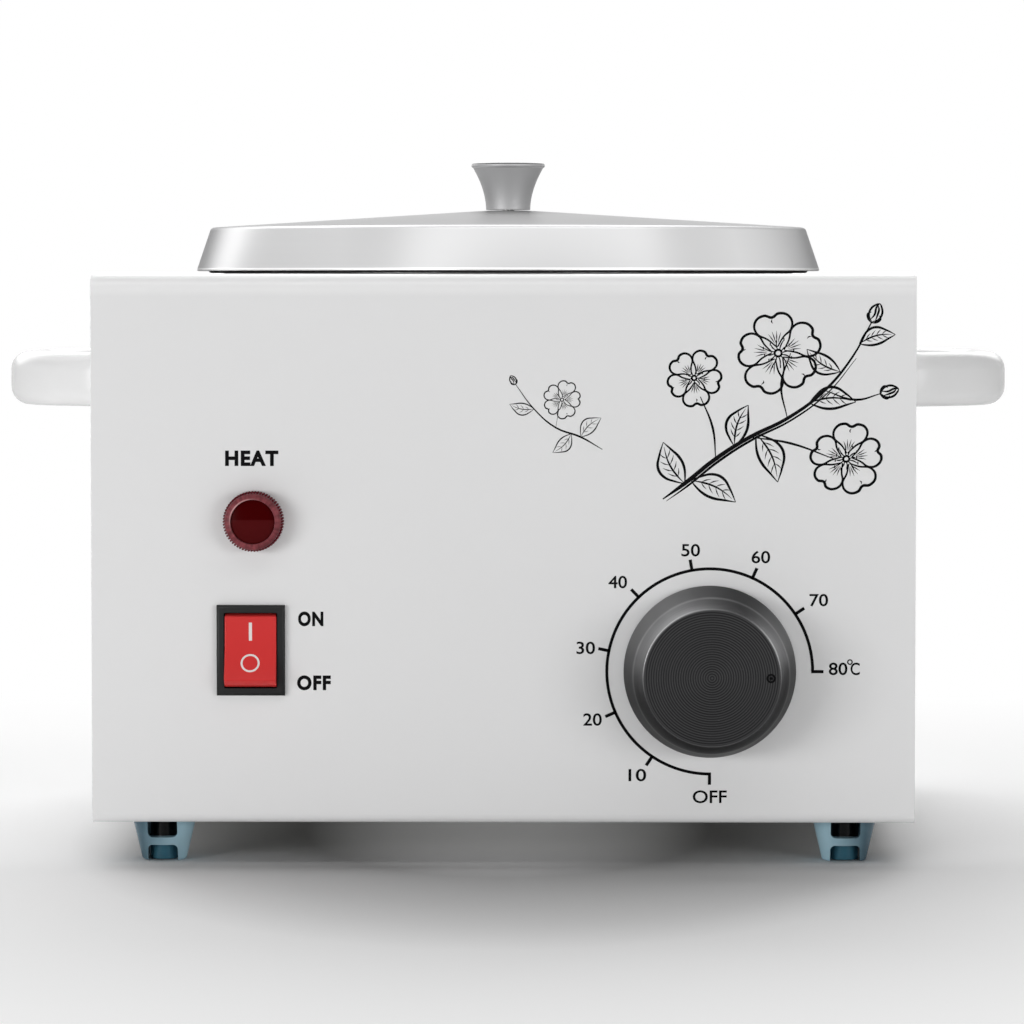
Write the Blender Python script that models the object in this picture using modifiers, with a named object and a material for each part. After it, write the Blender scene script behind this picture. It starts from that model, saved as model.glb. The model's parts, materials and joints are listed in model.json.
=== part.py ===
# Paraffin wax bath: a lift-out pot in a heated well, in a folded and punched sheet case.
# Metres, +Z up, front towards -Y, standing on z = 0 with the origin under the middle.

from math import cos, pi, radians, sin, sqrt, tan

import bmesh
import bpy
from mathutils import Vector

# Clearance between pieces that touch.
GAP = 0.0003

# Case: one sheet folded over front, top and back, closed by a pan at each end.
CASE_WIDTH = 0.266
CASE_DEPTH = 0.250
CASE_HEIGHT = 0.1775
CASE_SHEET = 0.001
CASE_BEND = 0.005
CASE_BASE_BEND = 0.003
RETURN_WIDTH = 0.036
PANEL_INSET = 0.0005
PANEL_FLANGE = 0.012
PANEL_BEND = 0.002
PANEL_SCREW_RISE = 0.030
PANEL_SCREW_DROP = 0.026
PANEL_SCREW_LENGTH = 0.007
VENT_WIDTH = 0.003
VENT_LENGTH = 0.040
VENT_PITCH = 0.012
VENT_COUNT = 6
VENT_ROW_OFFSET = 0.036

# Feet: hollow cones with a window above and below the web, front and back.
FOOT_HEIGHT = 0.0143
FOOT_TOP_RADIUS = 0.0104
FOOT_BOTTOM_RADIUS = 0.0072
FOOT_WALL = 0.0017
FOOT_WEB_LOW = 0.0054
FOOT_WEB_HIGH = 0.0079
FOOT_BOSS_RADIUS = 0.00405
FOOT_WINDOW_WIDTH = 0.0097
FOOT_LIP = 0.0006
FOOT_SEAT_RECESS = 0.0007
FOOT_SCREW_REACH = 0.003
FOOT_SIDE_INSET = 0.0215
FOOT_END_INSET = 0.022

# Handles: arched bars on the side panels.
HANDLE_REACH = 0.0387
HANDLE_SECTION_HEIGHT = 0.0183
HANDLE_SECTION_THICKNESS = 0.0130
HANDLE_SECTION_ROUND = 0.0060
HANDLE_BASE_LENGTH = 0.101
HANDLE_BAR_LENGTH = 0.066
HANDLE_PAD_LENGTH = 0.0053
HANDLE_INNER_BEND = 0.0075
HANDLE_OUTER_BEND = 0.030
HANDLE_DROP = 0.0356
HANDLE_FLARE_RATIO = 1.08
HANDLE_SCREW_LENGTH = 0.0105
HANDLE_SCREW_BORE = 0.012

# Heated well and the pot that lifts out of it.
POT_RADIUS = 0.0965
POT_HEIGHT = 0.1255
POT_WALL = 0.0012
POT_CORNER = 0.008
POT_RIM_RADIUS = 0.0026
POT_RIM_START = -30.0
POT_RIM_SWEEP = 210.0
POT_RISE = 0.0147
WELL_CLEARANCE = 0.0005
WELL_WALL = 0.0008
WELL_BEND = 0.0015
WELL_FLANGE_RADIUS = 0.104

# Lid with its knob.
LID_RADIUS = 0.1081
LID_SHOULDER_RADIUS = 0.1032
LID_SHOULDER_BEND = 0.003
LID_SHEET = 0.0012
LID_RISE = 0.0060
LID_CLEARANCE = 0.0004
LID_REST = 0.0004
LID_HEM = 0.0009
LID_HEM_HEIGHT = 0.0012
KNOB_HEIGHT = 0.0171
KNOB_BASE_RADIUS = 0.0077
KNOB_RIM_RADIUS = 0.0128
KNOB_RIM_THICKNESS = 0.0020
KNOB_RIM_ROUND = 0.0008
KNOB_DOME = 0.0010
KNOB_BORE_DEPTH = 0.0090
LID_SCREW_CLEARANCE = 0.0010

# Heater round the well.
BAND_THICKNESS = 0.0025
BAND_HEIGHT = 0.060
BAND_DROP = 0.035
BAND_SPLIT = 0.006
BAND_EAR = 0.010
BAND_SCREW_REACH = 0.004
INSULATION_THICKNESS = 0.007
INSULATION_MARGIN = 0.006
INSULATION_SLOT = 0.030

# Thermostat and its dial. Places are from the case's nearer end and its underside.
DIAL_INSET = 0.0663
DIAL_Z = 0.0493
DIAL_STANDOFF = 0.0008
DIAL_HEIGHT = 0.0252
DIAL_BASE_RADIUS = 0.0280
DIAL_CREST_RADIUS = 0.0250
DIAL_CREST_HEIGHT = 0.0172
DIAL_FACE_RADIUS = 0.0222
DIAL_SHOULDER_DROP = 0.0030
DIAL_SHOULDER_SWELL = 0.0004
DIAL_WALL = 0.0018
DIAL_HUB_RECESS = 0.0010
DIAL_HUB_RADIUS = 0.0065
DIAL_MARK_RADIUS = 0.0011
DIAL_MARK_OFFSET = 0.0187
SHAFT_RADIUS = 0.003
SHAFT_HOLE_RADIUS = 0.005
SHAFT_INSERTION = 0.005
SHAFT_BORE_DEPTH = 0.006
THERMOSTAT_WIDTH = 0.044
THERMOSTAT_HEIGHT = 0.036
THERMOSTAT_DEPTH = 0.028
THERMOSTAT_SCREW_OFFSET = 0.014
THERMOSTAT_SCREW_REACH = 0.007
THERMOSTAT_SCREW_BORE = 0.008
THERMOSTAT_CHAMFER = 0.001
BULB_RADIUS = 0.003
BULB_LENGTH = 0.070
CAPILLARY_RADIUS = 0.0011
CAPILLARY_LEAD = 0.012
CAPILLARY_DIP = 0.002
CAPILLARY_SWEEP = 0.030
CAPILLARY_DROP = 0.012
CAPILLARY_STANDOFF = 0.014
CLIP_WIDTH = 0.008
CLIP_SHEET = 0.0008

# Rocker switch.
SWITCH_INSET = 0.0516
SWITCH_Z = 0.0561
BEZEL_WIDTH = 0.0221
BEZEL_HEIGHT = 0.0293
BEZEL_THICKNESS = 0.002
BEZEL_CHAMFER = 0.0008
SWITCH_BODY_BORDER = 0.0013
SWITCH_BODY_DEPTH = 0.022
ROCKER_WIDTH = 0.0167
ROCKER_HALF_HEIGHT = 0.0116
ROCKER_FACE_REACH = 0.0092
ROCKER_VALLEY = 0.0030
ROCKER_BACK = 0.0030
ROCKER_PROUD = 0.0005
ROCKER_END_STEP = 0.0002
ROCKER_WELL_DEPTH = 0.007
ROCKER_THROW = 22.0
PIVOT_RADIUS = 0.00125
TERMINAL_LENGTH = 0.009
TERMINAL_WIDTH = 0.0048
TERMINAL_THICKNESS = 0.0008
TERMINAL_SPACING = 0.007

# Pilot lamp.
LAMP_INSET = 0.0527
LAMP_Z = 0.0979
LENS_RADIUS = 0.0099
LENS_HEIGHT = 0.0080
LENS_FACE_RADIUS = 0.0071
LENS_FACE_RECESS = 0.0006
LENS_RIM_CHAMFER = 0.0010
LENS_TEETH = 26
LENS_TOOTH = 0.0005
LENS_TOOTH_START = 0.0004
LENS_TOOTH_LENGTH = 0.0060
LENS_TOOTH_ROOT = 0.0015
LAMP_BODY_RADIUS = 0.008
LAMP_BODY_LENGTH = 0.024
LAMP_NOSE = 0.003
NUT_FLATS = 0.022
NUT_THICKNESS = 0.003

# Appliance inlet on the back.
INLET_INSET = 0.058
INLET_Z = 0.040
INLET_FLANGE_WIDTH = 0.050
INLET_FLANGE_HEIGHT = 0.0235
INLET_FLANGE_THICKNESS = 0.003
INLET_BODY_WIDTH = 0.0275
INLET_BODY_HEIGHT = 0.0198
INLET_BODY_DEPTH = 0.020
INLET_WALL = 0.0015
INLET_FLOOR = 0.004
INLET_CORNER = 0.0045
INLET_CHAMFER = 0.0006
INLET_SCREW_OFFSET = 0.020
INLET_SCREW_LENGTH = 0.008
PIN_WIDTH = 0.002
PIN_HEIGHT = 0.004
PIN_LENGTH = 0.015
PIN_TAIL = 0.008
PIN_SPACING = 0.007
PIN_OFFSET = 0.002
PIN_CHAMFER = 0.0004

# Inside the base.
BLOCK_LENGTH = 0.040
BLOCK_WIDTH = 0.016
BLOCK_HEIGHT = 0.013
BLOCK_CHAMFER = 0.0008
BLOCK_WAYS = 4
BLOCK_X = 0.020
BLOCK_INSET = 0.054
CUTOUT_RADIUS = 0.008
CUTOUT_HEIGHT = 0.007
CUTOUT_OFFSET = 0.040
STUD_RADIUS = 0.002
STUD_HEIGHT = 0.012
STUD_X = -0.040
STUD_INSET = 0.044
WIRE_RADIUS = 0.0012
WIRE_LIFT = 0.012
WIRE_LEAD = 0.014
WIRE_SHORT_LEAD = 0.010
WIRE_LONG_LEAD = 0.020
WIRE_SPREAD = 0.012
WIRE_CROSSING = 0.070
WIRE_DROP = 0.008

# Screws: head radius, head height, shank radius.
SMALL_SCREW = (0.0027, 0.0018, 0.0015)
MEDIUM_SCREW = (0.0035, 0.0024, 0.0020)
LARGE_SCREW = (0.0045, 0.0030, 0.0025)

# Facets round the large, middle and small turned pieces.
LARGE_STEPS = 36
MIDDLE_STEPS = 24
SMALL_STEPS = 8
FOOT_STEPS = 16
BEND_STEPS = 4
PROFILE_STEPS = 2
WIRE_STEPS = 4

# Turns that send a piece's own +Z the named way.
UP = (0, 0, 0)
DOWN = (pi, 0, 0)
FRONT = (pi / 2, 0, 0)
BACK = (-pi / 2, 0, 0)
RIGHT = (0, pi / 2, 0)
LEFT = (0, -pi / 2, 0)

# Heights and planes that follow from the sizes above.
case_bottom = FOOT_HEIGHT
case_top = case_bottom + CASE_HEIGHT
dial_front = DIAL_STANDOFF + DIAL_HEIGHT
inlet_back = GAP + INLET_FLANGE_THICKNESS
middle_y = (dial_front - inlet_back) / 2
front_y = middle_y - CASE_DEPTH / 2
back_y = middle_y + CASE_DEPTH / 2
inner_front_y = front_y + CASE_SHEET
inner_back_y = back_y - CASE_SHEET
block_y = inner_back_y - BLOCK_INSET
stud_y = inner_back_y - STUD_INSET
side_x = CASE_WIDTH / 2 - PANEL_INSET
base_z = case_bottom + CASE_SHEET + GAP
base_top = base_z + CASE_SHEET
flange_x = side_x - PANEL_FLANGE
pot_top = case_top + POT_RISE
pot_bottom = pot_top - POT_HEIGHT
well_radius = POT_RADIUS + WELL_CLEARANCE
well_floor = pot_bottom - GAP
well_top = case_top + GAP + WELL_WALL
well_under = well_floor - WELL_WALL
well_outer = well_radius + WELL_WALL
well_hole = well_outer + WELL_BEND + GAP
foot_x = CASE_WIDTH / 2 - FOOT_SIDE_INSET
foot_y = CASE_DEPTH / 2 - FOOT_END_INSET
handle_z = case_top - HANDLE_DROP
panel_screw_heights = (case_bottom + PANEL_SCREW_RISE, case_top - PANEL_SCREW_DROP)
dial_x = CASE_WIDTH / 2 - DIAL_INSET
switch_x = SWITCH_INSET - CASE_WIDTH / 2
lamp_x = LAMP_INSET - CASE_WIDTH / 2
inlet_x = INLET_INSET - CASE_WIDTH / 2
dial_z = case_bottom + DIAL_Z
switch_z = case_bottom + SWITCH_Z
lamp_z = case_bottom + LAMP_Z
inlet_z = case_bottom + INLET_Z
rocker_radius = sqrt(ROCKER_HALF_HEIGHT ** 2 + (ROCKER_BACK - ROCKER_END_STEP) ** 2)


def clear_scene():
    for item in list(bpy.data.objects):
        bpy.data.objects.remove(item, do_unlink=True)


def new_collection(name):
    group = bpy.data.collections.new(name)
    bpy.context.scene.collection.children.link(group)
    return group


def new_finish(name, colour, roughness, metallic):
    finish = bpy.data.materials.new(name)
    finish.use_nodes = True
    shader = finish.node_tree.nodes["Principled BSDF"]
    shader.inputs["Base Color"].default_value = (*colour, 1.0)
    shader.inputs["Roughness"].default_value = roughness
    shader.inputs["Metallic"].default_value = metallic
    return finish


clear_scene()
parts = new_collection("paraffin_wax_bath")
cutters = new_collection("cutters")

FINISHES = {
    "white_paint": ((0.72, 0.72, 0.72), 0.30, 0.0),
    "white_plastic": ((0.75, 0.75, 0.74), 0.25, 0.0),
    "satin_aluminium": ((0.62, 0.62, 0.62), 0.35, 1.0),
    "zinc_plate": ((0.55, 0.55, 0.53), 0.40, 1.0),
    "blue_rubber": ((0.22, 0.36, 0.42), 0.45, 0.0),
    "graphite_plastic": ((0.05, 0.05, 0.055), 0.40, 0.0),
    "black_plastic": ((0.02, 0.02, 0.02), 0.40, 0.0),
    "red_plastic": ((0.55, 0.02, 0.02), 0.25, 0.0),
    "lamp_red": ((0.35, 0.02, 0.03), 0.20, 0.0),
    "brass": ((0.70, 0.52, 0.25), 0.35, 1.0),
    "copper": ((0.72, 0.40, 0.26), 0.35, 1.0),
    "glass_wool": ((0.70, 0.66, 0.50), 0.90, 0.0),
    "ceramic": ((0.70, 0.68, 0.62), 0.50, 0.0),
    "wire_brown": ((0.16, 0.07, 0.04), 0.50, 0.0),
    "wire_blue": ((0.04, 0.12, 0.40), 0.50, 0.0),
    "wire_yellow": ((0.55, 0.50, 0.06), 0.50, 0.0),
}
finishes = {name: new_finish(name, *values) for name, values in FINISHES.items()}


def place(name, data, finish, location=(0, 0, 0), turn=UP):
    item = bpy.data.objects.new(name, data)
    item.location = location
    item.rotation_euler = turn
    if finish is None:
        cutters.objects.link(item)
        item.hide_render = True
        item.display_type = 'WIRE'
    else:
        parts.objects.link(item)
        data.materials.append(finishes[finish])
    return item


def mesh_from(name, bm, smooth=True):
    bmesh.ops.recalc_face_normals(bm, faces=bm.faces)
    mesh = bpy.data.meshes.new(name)
    bm.to_mesh(mesh)
    bm.free()
    if smooth:
        mesh.shade_smooth()
        mesh.set_sharp_from_angle(angle=radians(30))
    return mesh


def block(name, size, finish, centre, bevel=0.0, turn=UP):
    bm = bmesh.new()
    bmesh.ops.create_cube(bm, size=1.0)
    bmesh.ops.scale(bm, vec=size, verts=bm.verts)
    if bevel:
        bmesh.ops.bevel(bm, geom=bm.edges[:], offset=bevel, segments=1, affect='EDGES',
                        profile=0.5, material=-1)
    return place(name, mesh_from(name, bm, smooth=False), finish, centre, turn)


def round_bar(name, radius, length, finish, centre, turn=UP, steps=SMALL_STEPS):
    bm = bmesh.new()
    bmesh.ops.create_cone(bm, cap_ends=True, segments=steps, radius1=radius, radius2=radius,
                          depth=length)
    return place(name, mesh_from(name, bm), finish, centre, turn)


# A profile is a list of (radius, height): down the outer side, and back up inside when closed.
def turned(name, profile, finish, steps, location=(0, 0, 0), turn=UP, closed=False):
    mesh = bpy.data.meshes.new(name)
    count = len(profile)
    edges = [(i, i + 1) for i in range(count - 1)]
    if closed:
        edges.append((count - 1, 0))
    mesh.from_pydata([(radius, 0, height) for radius, height in profile], edges, [])
    item = place(name, mesh, finish, location, turn)
    spin = item.modifiers.new("spin", 'SCREW')
    spin.steps = steps
    spin.render_steps = steps
    spin.use_merge_vertices = True
    spin.merge_threshold = 0.00001
    return item


def thicken(item, thickness, side):
    shell = item.modifiers.new("sheet", 'SOLIDIFY')
    shell.thickness = thickness
    shell.offset = side
    shell.use_even_offset = True
    return item


def combine(target, other, operation='DIFFERENCE'):
    step = target.modifiers.new(other.name, 'BOOLEAN')
    step.operation = operation
    step.object = other
    return target


def bore(target, radius, length, centre, turn=UP, steps=SMALL_STEPS):
    name = "bore_%03d" % len(cutters.objects)
    return combine(target, round_bar(name, radius, length, None, centre, turn, steps))


def slot(target, size, centre, bevel=0.0, turn=UP):
    name = "slot_%03d" % len(cutters.objects)
    return combine(target, block(name, size, None, centre, bevel, turn))


def add_block(target, size, centre, turn=UP):
    name = "add_%03d" % len(cutters.objects)
    return combine(target, block(name, size, None, centre, 0.0, turn), 'UNION')


# Replaces an object's modifiers, or a curve, by the mesh that they make.
def settle(item):
    bpy.context.view_layer.update()
    view = bpy.context.evaluated_depsgraph_get()
    mesh = bpy.data.meshes.new_from_object(item.evaluated_get(view))
    bm = bmesh.new()
    bm.from_mesh(mesh)
    bmesh.ops.remove_doubles(bm, verts=bm.verts, dist=0.000001)
    bm.to_mesh(mesh)
    bm.free()
    return mesh


# The arc that rounds one corner of a path, as points from one tangent to the other.
def corner_arc(before, corner, after, radius, steps):
    to_before = (before - corner).normalized()
    to_after = (after - corner).normalized()
    half = to_before.angle(to_after) / 2
    centre = corner + (to_before + to_after).normalized() * (radius / sin(half))
    start = (corner + to_before * (radius / tan(half)) - centre).normalized()
    end = (corner + to_after * (radius / tan(half)) - centre).normalized()
    return [centre + start.slerp(end, i / steps) * radius for i in range(steps + 1)]


# A path through the points with its inner corners rounded; a radius of 0 keeps one sharp.
def rounded_path(points, radii, steps=BEND_STEPS):
    points = [Vector(point).to_3d() for point in points]
    path = [points[0]]
    for i in range(1, len(points) - 1):
        if radii[i - 1]:
            path += corner_arc(points[i - 1], points[i], points[i + 1], radii[i - 1], steps)
        else:
            path.append(points[i])
    path.append(points[-1])
    return path


# A profile of (radius, height) with rounded corners, for turning.
def rounded_profile(points, radii, steps=PROFILE_STEPS):
    return [(point.x, point.y) for point in rounded_path(points, radii, steps)]


# A flat outline in the YZ plane, as a solid of the given width along X.
def prism(name, outline, width, finish, location=(0, 0, 0), turn=UP):
    bm = bmesh.new()
    rim = [bm.verts.new((-width / 2, y, z)) for y, z in outline]
    face = bm.faces.new(rim)
    grown = bmesh.ops.extrude_face_region(bm, geom=[face])
    moved = [item for item in grown["geom"] if isinstance(item, bmesh.types.BMVert)]
    bmesh.ops.translate(bm, vec=(width, 0, 0), verts=moved)
    return place(name, mesh_from(name, bm), finish, location, turn)


# A screw with its seat at its own origin and its shank running down its own -Z.
def fastener(name, kind, length, location, turn):
    head, height, shank = kind
    profile = [(0, height), (head * 0.75, height), (head, height * 0.6), (head, 0), (shank, 0),
               (shank, -length), (0, -length)]
    return turned(name, profile, "zinc_plate", SMALL_STEPS, location, turn)


def body_wrap():
    return_y = RETURN_WIDTH
    corners = [(return_y, 0), (0, 0), (0, CASE_HEIGHT), (CASE_DEPTH, CASE_HEIGHT),
               (CASE_DEPTH, 0), (CASE_DEPTH - return_y, 0)]
    path = rounded_path(corners, [CASE_BASE_BEND, CASE_BEND, CASE_BEND, CASE_BASE_BEND])
    bm = bmesh.new()
    line = [bm.verts.new((-CASE_WIDTH / 2, point.x, point.y)) for point in path]
    edges = [bm.edges.new(pair) for pair in zip(line, line[1:])]
    grown = bmesh.ops.extrude_edge_only(bm, edges=edges)
    moved = [item for item in grown["geom"] if isinstance(item, bmesh.types.BMVert)]
    bmesh.ops.translate(bm, vec=(CASE_WIDTH, 0, 0), verts=moved)
    wrap = place("body_wrap", mesh_from("body_wrap", bm), "white_paint",
                 (0, front_y, case_bottom))
    thicken(wrap, CASE_SHEET, -1)
    through = CASE_SHEET * 6
    bore(wrap, well_hole, through, (0, middle_y, case_top), steps=LARGE_STEPS)
    bore(wrap, LAMP_BODY_RADIUS + GAP, through, (lamp_x, front_y, lamp_z), FRONT, MIDDLE_STEPS)
    bore(wrap, SHAFT_HOLE_RADIUS, through, (dial_x, front_y, dial_z), FRONT, SMALL_STEPS * 2)
    for side in (-1, 1):
        bore(wrap, MEDIUM_SCREW[2] + GAP, through,
             (dial_x + side * THERMOSTAT_SCREW_OFFSET, front_y, dial_z), FRONT)
        bore(wrap, SMALL_SCREW[2] + GAP, through,
             (inlet_x + side * INLET_SCREW_OFFSET, back_y, inlet_z), BACK)
        for height in panel_screw_heights:
            bore(wrap, SMALL_SCREW[2] + GAP, through,
                 (side * panel_screw_x(), back_y, height), BACK)
        for end in (-1, 1):
            bore(wrap, SMALL_SCREW[2] + GAP, through,
                 (side * foot_x, middle_y + end * foot_y, case_bottom))
    slot(wrap, (switch_body_width() + 2 * GAP, through, switch_body_height() + 2 * GAP),
         (switch_x, front_y, switch_z))
    slot(wrap, (INLET_BODY_WIDTH + 2 * GAP, through, INLET_BODY_HEIGHT + 2 * GAP),
         (inlet_x, back_y, inlet_z))
    return wrap


def panel_screw_x():
    return side_x - PANEL_FLANGE / 2


def switch_body_width():
    return BEZEL_WIDTH - 2 * SWITCH_BODY_BORDER


def switch_body_height():
    return BEZEL_HEIGHT - 2 * SWITCH_BODY_BORDER


# A pan whose flanges turn inwards along the wrap, with two holes for the handle's screws.
def side_panel(name, side):
    inset = CASE_SHEET + GAP
    depth = CASE_DEPTH - 2 * inset
    height = CASE_HEIGHT - 2 * inset
    bm = bmesh.new()
    bmesh.ops.create_cube(bm, size=1.0)
    bmesh.ops.scale(bm, vec=(PANEL_FLANGE, depth, height), verts=bm.verts)
    inner = [face for face in bm.faces if face.normal.x * side < -0.5]
    bmesh.ops.delete(bm, geom=inner, context='FACES_ONLY')
    for level, bend in ((-1, CASE_BASE_BEND), (1, CASE_BEND)):
        folds = [edge for edge in bm.edges if edge.verts[0].co.z * level > height * 0.4
                 and abs(edge.verts[0].co.x - edge.verts[1].co.x) > 0.001]
        bmesh.ops.bevel(bm, geom=folds, offset=bend - inset, segments=BEND_STEPS,
                        affect='EDGES', profile=0.5, material=-1)
    rim = [edge for edge in bm.edges
           if all(vert.co.x * side > PANEL_FLANGE * 0.49 for vert in edge.verts)]
    bmesh.ops.bevel(bm, geom=rim, offset=PANEL_BEND, segments=2, affect='EDGES',
                    profile=0.5, material=-1)
    centre = (side * (side_x - PANEL_FLANGE / 2), middle_y, case_bottom + CASE_HEIGHT / 2)
    panel = place(name, mesh_from(name, bm), "white_paint", centre)
    thicken(panel, CASE_SHEET, -1)
    for end in (-1, 1):
        bore(panel, LARGE_SCREW[2] + GAP, CASE_SHEET * 6,
             (side * side_x, middle_y + end * HANDLE_BASE_LENGTH / 2, handle_z), RIGHT)
    for screw_height in panel_screw_heights:
        bore(panel, SMALL_SCREW[2] + GAP, CASE_SHEET * 6,
             (side * panel_screw_x(), inner_back_y - GAP, screw_height), BACK)
    return panel


def base_plate():
    size = (2 * (flange_x - GAP), CASE_DEPTH - 2 * CASE_BEND, CASE_SHEET)
    plate = block("base_plate", size, "zinc_plate", (0, middle_y, base_z + CASE_SHEET / 2))
    for row in (-1, 1):
        for i in range(VENT_COUNT):
            x = (i - (VENT_COUNT - 1) / 2) * VENT_PITCH
            slot(plate, (VENT_WIDTH, VENT_LENGTH, CASE_SHEET * 6),
                 (x, middle_y + row * VENT_ROW_OFFSET, base_z))
    for side in (-1, 1):
        for end in (-1, 1):
            bore(plate, SMALL_SCREW[2] + GAP, CASE_SHEET * 6,
                 (side * foot_x, middle_y + end * foot_y, base_z))
    bore(plate, STUD_RADIUS + GAP, CASE_SHEET * 6, (STUD_X, stud_y, base_z))
    return plate


# One foot's mesh: an outer cone and an inner boss joined by a web, with windows cut through.
def foot_mesh():
    top = FOOT_HEIGHT - GAP
    seat = FOOT_WEB_LOW - FOOT_SEAT_RECESS
    lip = FOOT_LIP
    inner_top = FOOT_TOP_RADIUS - FOOT_WALL
    inner_bottom = FOOT_BOTTOM_RADIUS - FOOT_WALL
    inner_web = inner_bottom + (inner_top - inner_bottom) * FOOT_WEB_LOW / top
    shank = SMALL_SCREW[2] + GAP
    head = SMALL_SCREW[0] + GAP
    profile = [(FOOT_TOP_RADIUS, top), (FOOT_BOTTOM_RADIUS + lip / 4, lip),
               (FOOT_BOTTOM_RADIUS - lip / 2, 0), (inner_bottom, 0), (inner_web, FOOT_WEB_LOW),
               (FOOT_BOSS_RADIUS, FOOT_WEB_LOW), (FOOT_BOSS_RADIUS, lip), (head, lip),
               (head, seat), (shank, seat), (shank, top), (FOOT_BOSS_RADIUS, top),
               (FOOT_BOSS_RADIUS, FOOT_WEB_HIGH), (inner_web, FOOT_WEB_HIGH), (inner_top, top)]
    foot = turned("foot", profile, "blue_rubber", FOOT_STEPS, closed=True)
    reach = FOOT_TOP_RADIUS
    start = FOOT_BOSS_RADIUS + GAP
    for end in (-1, 1):
        y = end * (start + reach / 2)
        slot(foot, (FOOT_WINDOW_WIDTH, reach, 2 * (top - FOOT_WEB_HIGH)), (0, y, top))
        slot(foot, (FOOT_WINDOW_WIDTH, reach, 2 * FOOT_WEB_LOW), (0, y, 0))
    mesh = settle(foot)
    bpy.data.objects.remove(foot)
    return mesh


def feet():
    mesh = foot_mesh()
    seat = FOOT_WEB_LOW - FOOT_SEAT_RECESS
    for side, side_name in ((-1, "left"), (1, "right")):
        for end, end_name in ((-1, "front"), (1, "rear")):
            name = "%s_%s" % (end_name, side_name)
            x = side * foot_x
            y = middle_y + end * foot_y
            foot = place("foot_" + name, mesh.copy(), "blue_rubber", (x, y, 0))
            foot.data.materials.clear()
            foot.data.materials.append(finishes["blue_rubber"])
            length = base_top + FOOT_SCREW_REACH - seat
            fastener("foot_screw_" + name, SMALL_SCREW, length, (x, y, seat - GAP), DOWN)


# A closed loop of points round a rectangle with rounded corners, for a bar's section.
def rounded_rectangle(width, height, radius, steps):
    points = []
    for corner in range(4):
        centre_x = (width / 2 - radius) * (1 if corner in (0, 3) else -1)
        centre_y = (height / 2 - radius) * (1 if corner in (0, 1) else -1)
        for i in range(steps + 1):
            angle = (corner + i / steps) * pi / 2
            points.append((centre_x + radius * cos(angle), centre_y + radius * sin(angle)))
    return points


def section_curve(name, points):
    data = bpy.data.curves.new(name, 'CURVE')
    line = data.splines.new('POLY')
    line.points.add(len(points) - 1)
    for target, (x, y) in zip(line.points, points):
        target.co = (x, y, 0, 1)
    line.use_cyclic_u = True
    return place(name, data, None)


def handle(name, side):
    bar = HANDLE_REACH - HANDLE_SECTION_THICKNESS / 2
    pad = HANDLE_PAD_LENGTH
    base = HANDLE_BASE_LENGTH / 2
    shoulder = HANDLE_BAR_LENGTH / 2
    corners = [(GAP, base), (pad, base), (bar, shoulder), (bar, -shoulder), (pad, -base),
               (GAP, -base)]
    path = rounded_path(corners, [HANDLE_INNER_BEND, HANDLE_OUTER_BEND, HANDLE_OUTER_BEND,
                                  HANDLE_INNER_BEND])
    section = rounded_rectangle(HANDLE_SECTION_THICKNESS, HANDLE_SECTION_HEIGHT,
                                HANDLE_SECTION_ROUND, 2)
    outline = section_curve(name + "_section", section)
    data = bpy.data.curves.new(name, 'CURVE')
    data.dimensions = '3D'
    data.bevel_mode = 'OBJECT'
    data.bevel_object = outline
    data.use_fill_caps = True
    line = data.splines.new('POLY')
    line.points.add(len(path) - 1)
    for i, point in enumerate(path):
        line.points[i].co = (side * point.x, point.y, 0, 1)
        line.points[i].radius = HANDLE_FLARE_RATIO if i in (0, len(path) - 1) else 1.0
    guide = place(name + "_path", data, None, (side * side_x, middle_y, handle_z))
    mesh = settle(guide)
    bpy.data.objects.remove(guide)
    bm = bmesh.new()
    bm.from_mesh(mesh)
    item = place(name, mesh_from(name, bm), "white_plastic", (side * side_x, middle_y, handle_z))
    for end in (-1, 1):
        bore(item, LARGE_SCREW[2] + GAP, 2 * HANDLE_SCREW_BORE,
             (side * side_x, middle_y + end * base, handle_z), RIGHT)
    return item


def handle_screws():
    for side, side_name in ((-1, "left"), (1, "right")):
        for end, end_name in ((-1, "front"), (1, "rear")):
            x = side * (side_x - CASE_SHEET - GAP)
            y = middle_y + end * HANDLE_BASE_LENGTH / 2
            fastener("handle_screw_%s_%s" % (end_name, side_name), LARGE_SCREW,
                     HANDLE_SCREW_LENGTH, (x, y, handle_z), LEFT if side > 0 else RIGHT)


def panel_screws():
    for side, side_name in ((-1, "left"), (1, "right")):
        for height, level in zip(panel_screw_heights, ("low", "high")):
            fastener("panel_screw_%s_%s" % (level, side_name), SMALL_SCREW,
                     PANEL_SCREW_LENGTH, (side * panel_screw_x(), back_y + GAP, height), BACK)


def heating_well():
    profile = rounded_profile(
        [(WELL_FLANGE_RADIUS, well_top), (well_radius, well_top), (well_radius, well_floor),
         (0, well_floor)],
        [WELL_BEND + WELL_WALL, POT_CORNER + POT_WALL + WELL_CLEARANCE])
    well = turned("heating_well", profile, "satin_aluminium", LARGE_STEPS, (0, middle_y, 0))
    return thicken(well, WELL_WALL, 1)


def wax_pot():
    inner = POT_RADIUS - POT_WALL
    centre_r = inner + POT_RIM_RADIUS
    centre_z = pot_top - POT_RIM_RADIUS
    profile = []
    for i in range(5):
        angle = radians(POT_RIM_START + POT_RIM_SWEEP * i / 4)
        profile.append((centre_r + POT_RIM_RADIUS * cos(angle),
                        centre_z + POT_RIM_RADIUS * sin(angle)))
    floor = pot_bottom + POT_WALL
    profile += rounded_profile([profile[-1], (inner, floor), (0, floor)], [POT_CORNER])[1:]
    pot = turned("wax_pot", profile, "satin_aluminium", LARGE_STEPS, (0, middle_y, 0))
    return thicken(pot, POT_WALL, 1)


# The lid's cone is set by where it rests on the pot's rim.
def lid_slope():
    return LID_RISE / (LID_SHOULDER_RADIUS - KNOB_BASE_RADIUS)


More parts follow.
